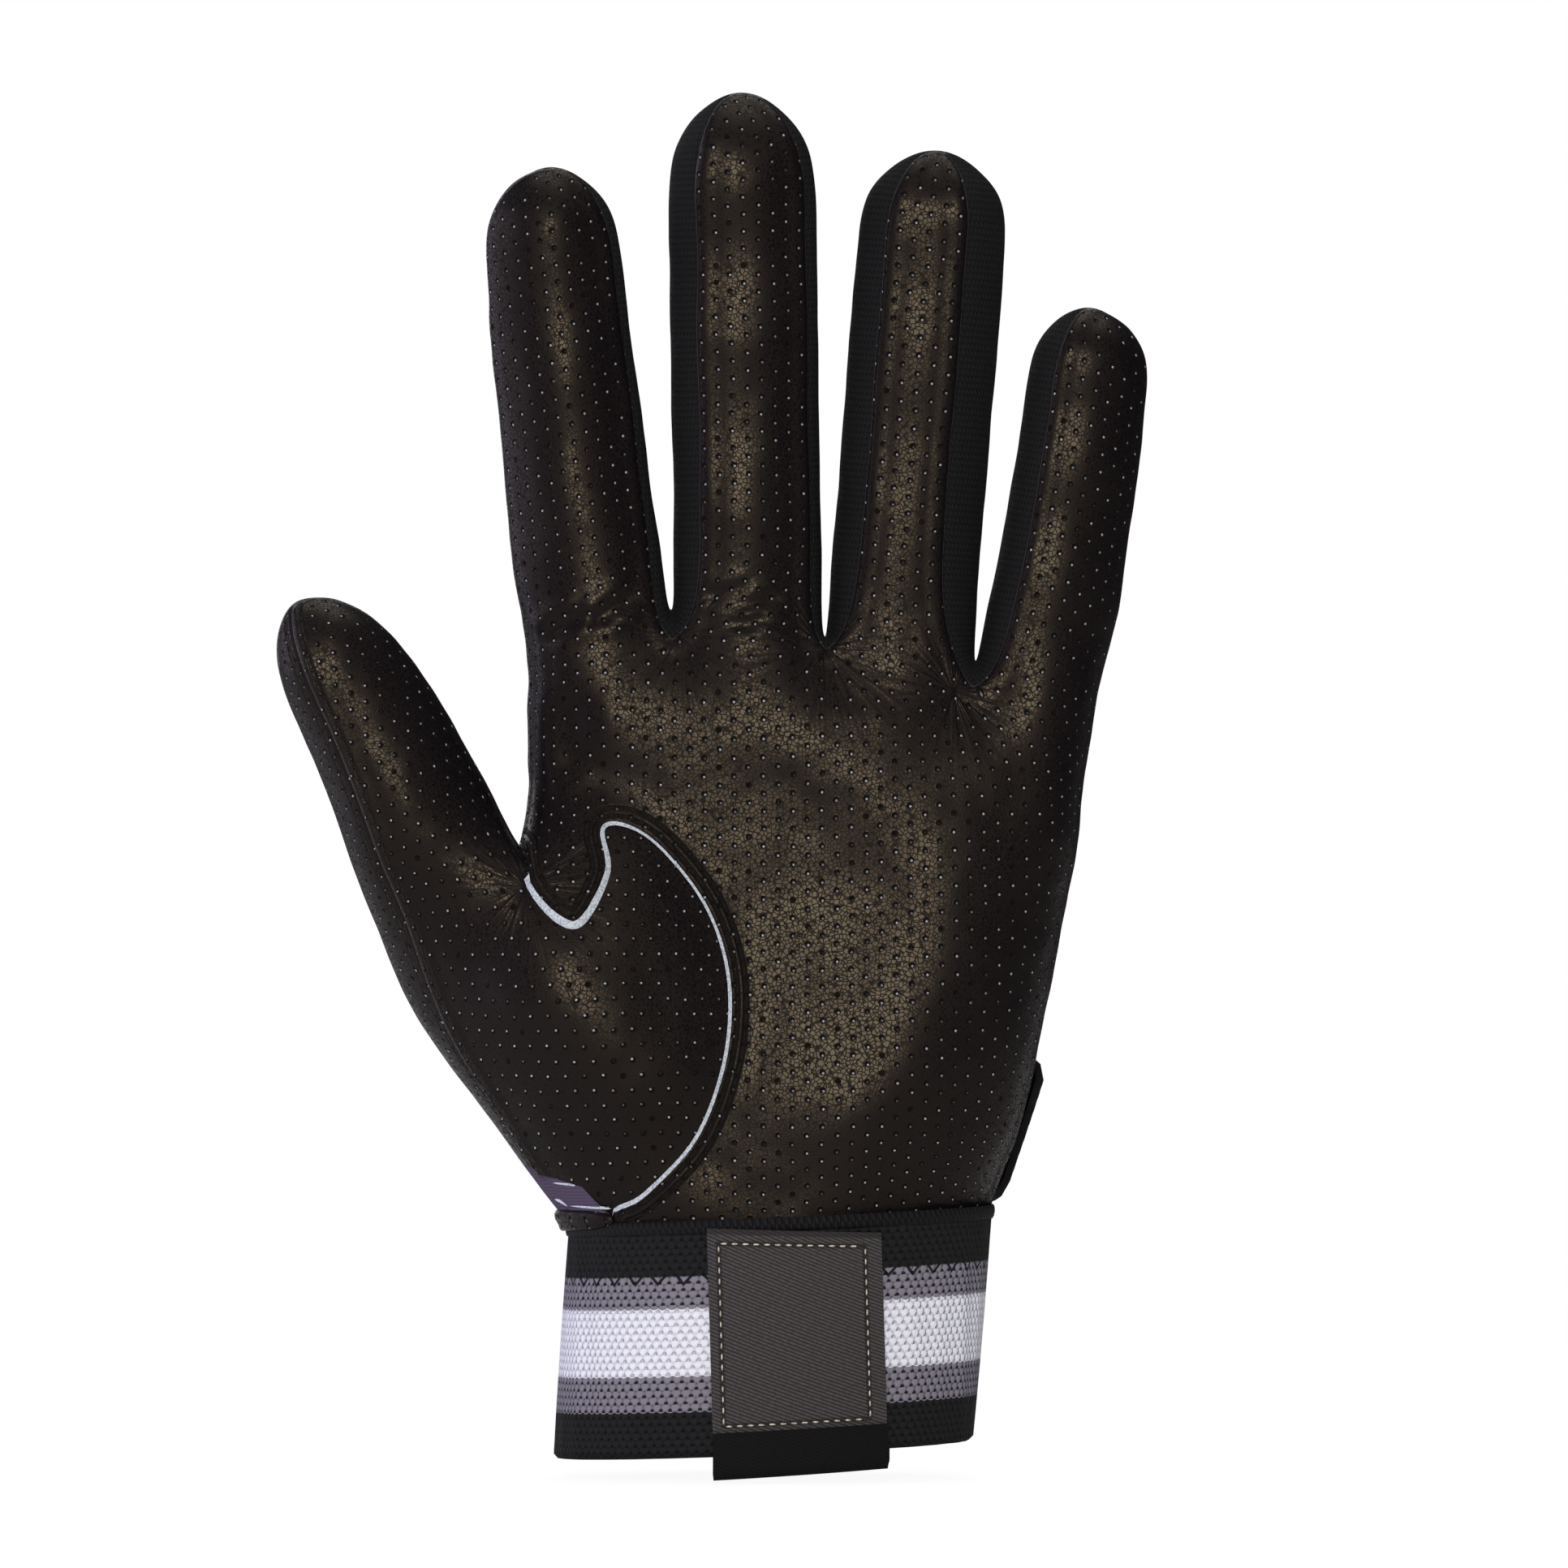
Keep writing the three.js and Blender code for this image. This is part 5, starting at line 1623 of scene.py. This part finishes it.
def add_strap():
    """The strap, its sewn end, and the two patches of its fastener"""
    bend = angle_at(STRAP_BEND_X)
    piece = band(
        "closure_strap_piece", STRAP_FREE_END, bend, 0, STRAP_OUT, STRAP_WALL, strap_cloth, "strap",
        "strap", rounded=STRAP_CORNER, slant=STRAP_SLANT,
    )
    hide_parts("closure_strap")
    ends = [angle_at(STRAP_BEND_X - distance) for distance in SEWN_END]
    piece = band(
        "strap_sewn_end_piece", *ends, 0, STRAP_OUT, SEWN_END_WALL, strap_cloth, "glove_body", "strap"
    )
    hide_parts("strap_sewn_end")
    cloth = fastener("hook_finish", 0.9, 0.5, 0.2)
    ends = [angle_at(x) for x in HOOK_ENDS]
    piece = band(
        "hook_patch_piece", *ends, PATCH_INSET, HOOK_OUT, PATCH_WALL, cloth, "strap", "fastener"
    )
    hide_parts("hook_patch")
    cloth = fastener("loop_finish", 0.7, 0.5, 0.9)
    ends = [angle_at(x) for x in LOOP_ENDS]
    piece = band(
        "loop_patch_piece", *ends, PATCH_INSET, LOOP_OUT, PATCH_WALL, cloth, "glove_body", "fastener"
    )
    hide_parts("loop_patch")


# Rolls: path round the wrist, then half width and half height
WRIST_ROLL = [(140, 38.6, 0.3), (180, 38.5, 0.7), (205, 38.6, 0.2)], (1.2, 1.6)
INSERT_ROLL = [(172, 44.9, 0.1), (181, 43.2, 0.1), (190, 40.9, 0.15), (205, 40.4, 0.1)], (0.3, 0.34)
STRIP_ROLL = [(190, 44.6, 0.1), (198, 44.2, 0.1)], (0.3, 0.3)

add_cuff()
add_tab()
add_strap()
add_roll("wrist_roll_piece", *WRIST_ROLL, leather("roll_leather_finish", edges=False))
add_roll("insert_edge_piece", *INSERT_ROLL, FINISHES["raw"])
add_roll("strip_edge_piece", *STRIP_ROLL, FINISHES["raw"])
add_camera()


# Light, floor and background
LAMP_TARGET = Vector((0.003, 0, 0.11))
FLOOR_SIZE = 0.45
FLOOR_DROP = 0.0005
FLOOR_GLOW = 1.06
FLOOR_GLOW_SHARE = 0.88
WORLD_LIGHT = 0.055


def add_lamp(name, place, size, watts, colour=(1, 1, 1)):
    lamp = bpy.data.lights.new(name, "AREA")
    lamp.shape = "RECTANGLE"
    lamp.size, lamp.size_y = size
    lamp.energy = watts
    lamp.color = colour
    holder = bpy.data.objects.new(name, lamp)
    holder.location = place
    aim = LAMP_TARGET - Vector(place)
    holder.rotation_euler = aim.to_track_quat("-Z", "Y").to_euler()
    bpy.context.collection.objects.link(holder)


def add_stage():
    floor = Finish("floor_finish", Roughness=0.9, Specular_IOR_Level=0.0)
    floor.shader.inputs["Base Color"].default_value = (0.9, 0.9, 0.9, 1)
    paths = floor.node("ShaderNodeLightPath")
    glow = floor.node("ShaderNodeEmission", {}, {"Strength": FLOOR_GLOW})
    shader = Value(floor, floor.shader.outputs[0])
    sockets = {0: paths * FLOOR_GLOW_SHARE, 1: shader, 2: glow}
    mixed_shader = floor.node("ShaderNodeMixShader", {}, sockets)
    output = floor.tree.nodes["Material Output"]
    floor.feed(output.inputs["Surface"], mixed_shader)
    mesh = bmesh.new()
    bmesh.ops.create_grid(mesh, x_segments=4, y_segments=4, size=FLOOR_SIZE)
    bmesh.ops.translate(mesh, verts=mesh.verts, vec=(0, 0, cad_box[0][2] - FLOOR_DROP))
    data = bpy.data.meshes.new("floor")
    mesh.to_mesh(data)
    mesh.free()
    data.materials.append(floor.material)
    piece = bpy.data.objects.new("floor", data)
    bpy.context.collection.objects.link(piece)

    world = bpy.context.scene.world or bpy.data.worlds.new("studio")
    bpy.context.scene.world = world
    world.use_nodes = True
    tree = world.node_tree
    background = tree.nodes["Background"]
    paths = tree.nodes.new("ShaderNodeLightPath")
    strength = tree.nodes.new("ShaderNodeMapRange")
    background.inputs["Color"].default_value = (1, 1, 1, 1)
    tree.links.new(paths.outputs["Is Camera Ray"], strength.inputs["Value"])
    strength.inputs["To Min"].default_value = WORLD_LIGHT
    strength.inputs["To Max"].default_value = 1.0
    tree.links.new(strength.outputs[0], background.inputs["Strength"])


add_lamp("key", (-0.12, -1.7, 0.5), (0.35, 0.5), 24, (1.0, 0.97, 0.93))
add_lamp("left_fill", (-1.5, 0.1, 0.3), (1.8, 1.2), 17, (0.76, 0.74, 0.98))
add_lamp("back_fill", (-0.35, 1.6, 0.6), (1.2, 1.2), 7)
add_lamp("top", (0.1, 0.1, 1.5), (1.2, 1.0), 13)
add_stage()
bpy.context.scene.view_settings.view_transform = "Standard"
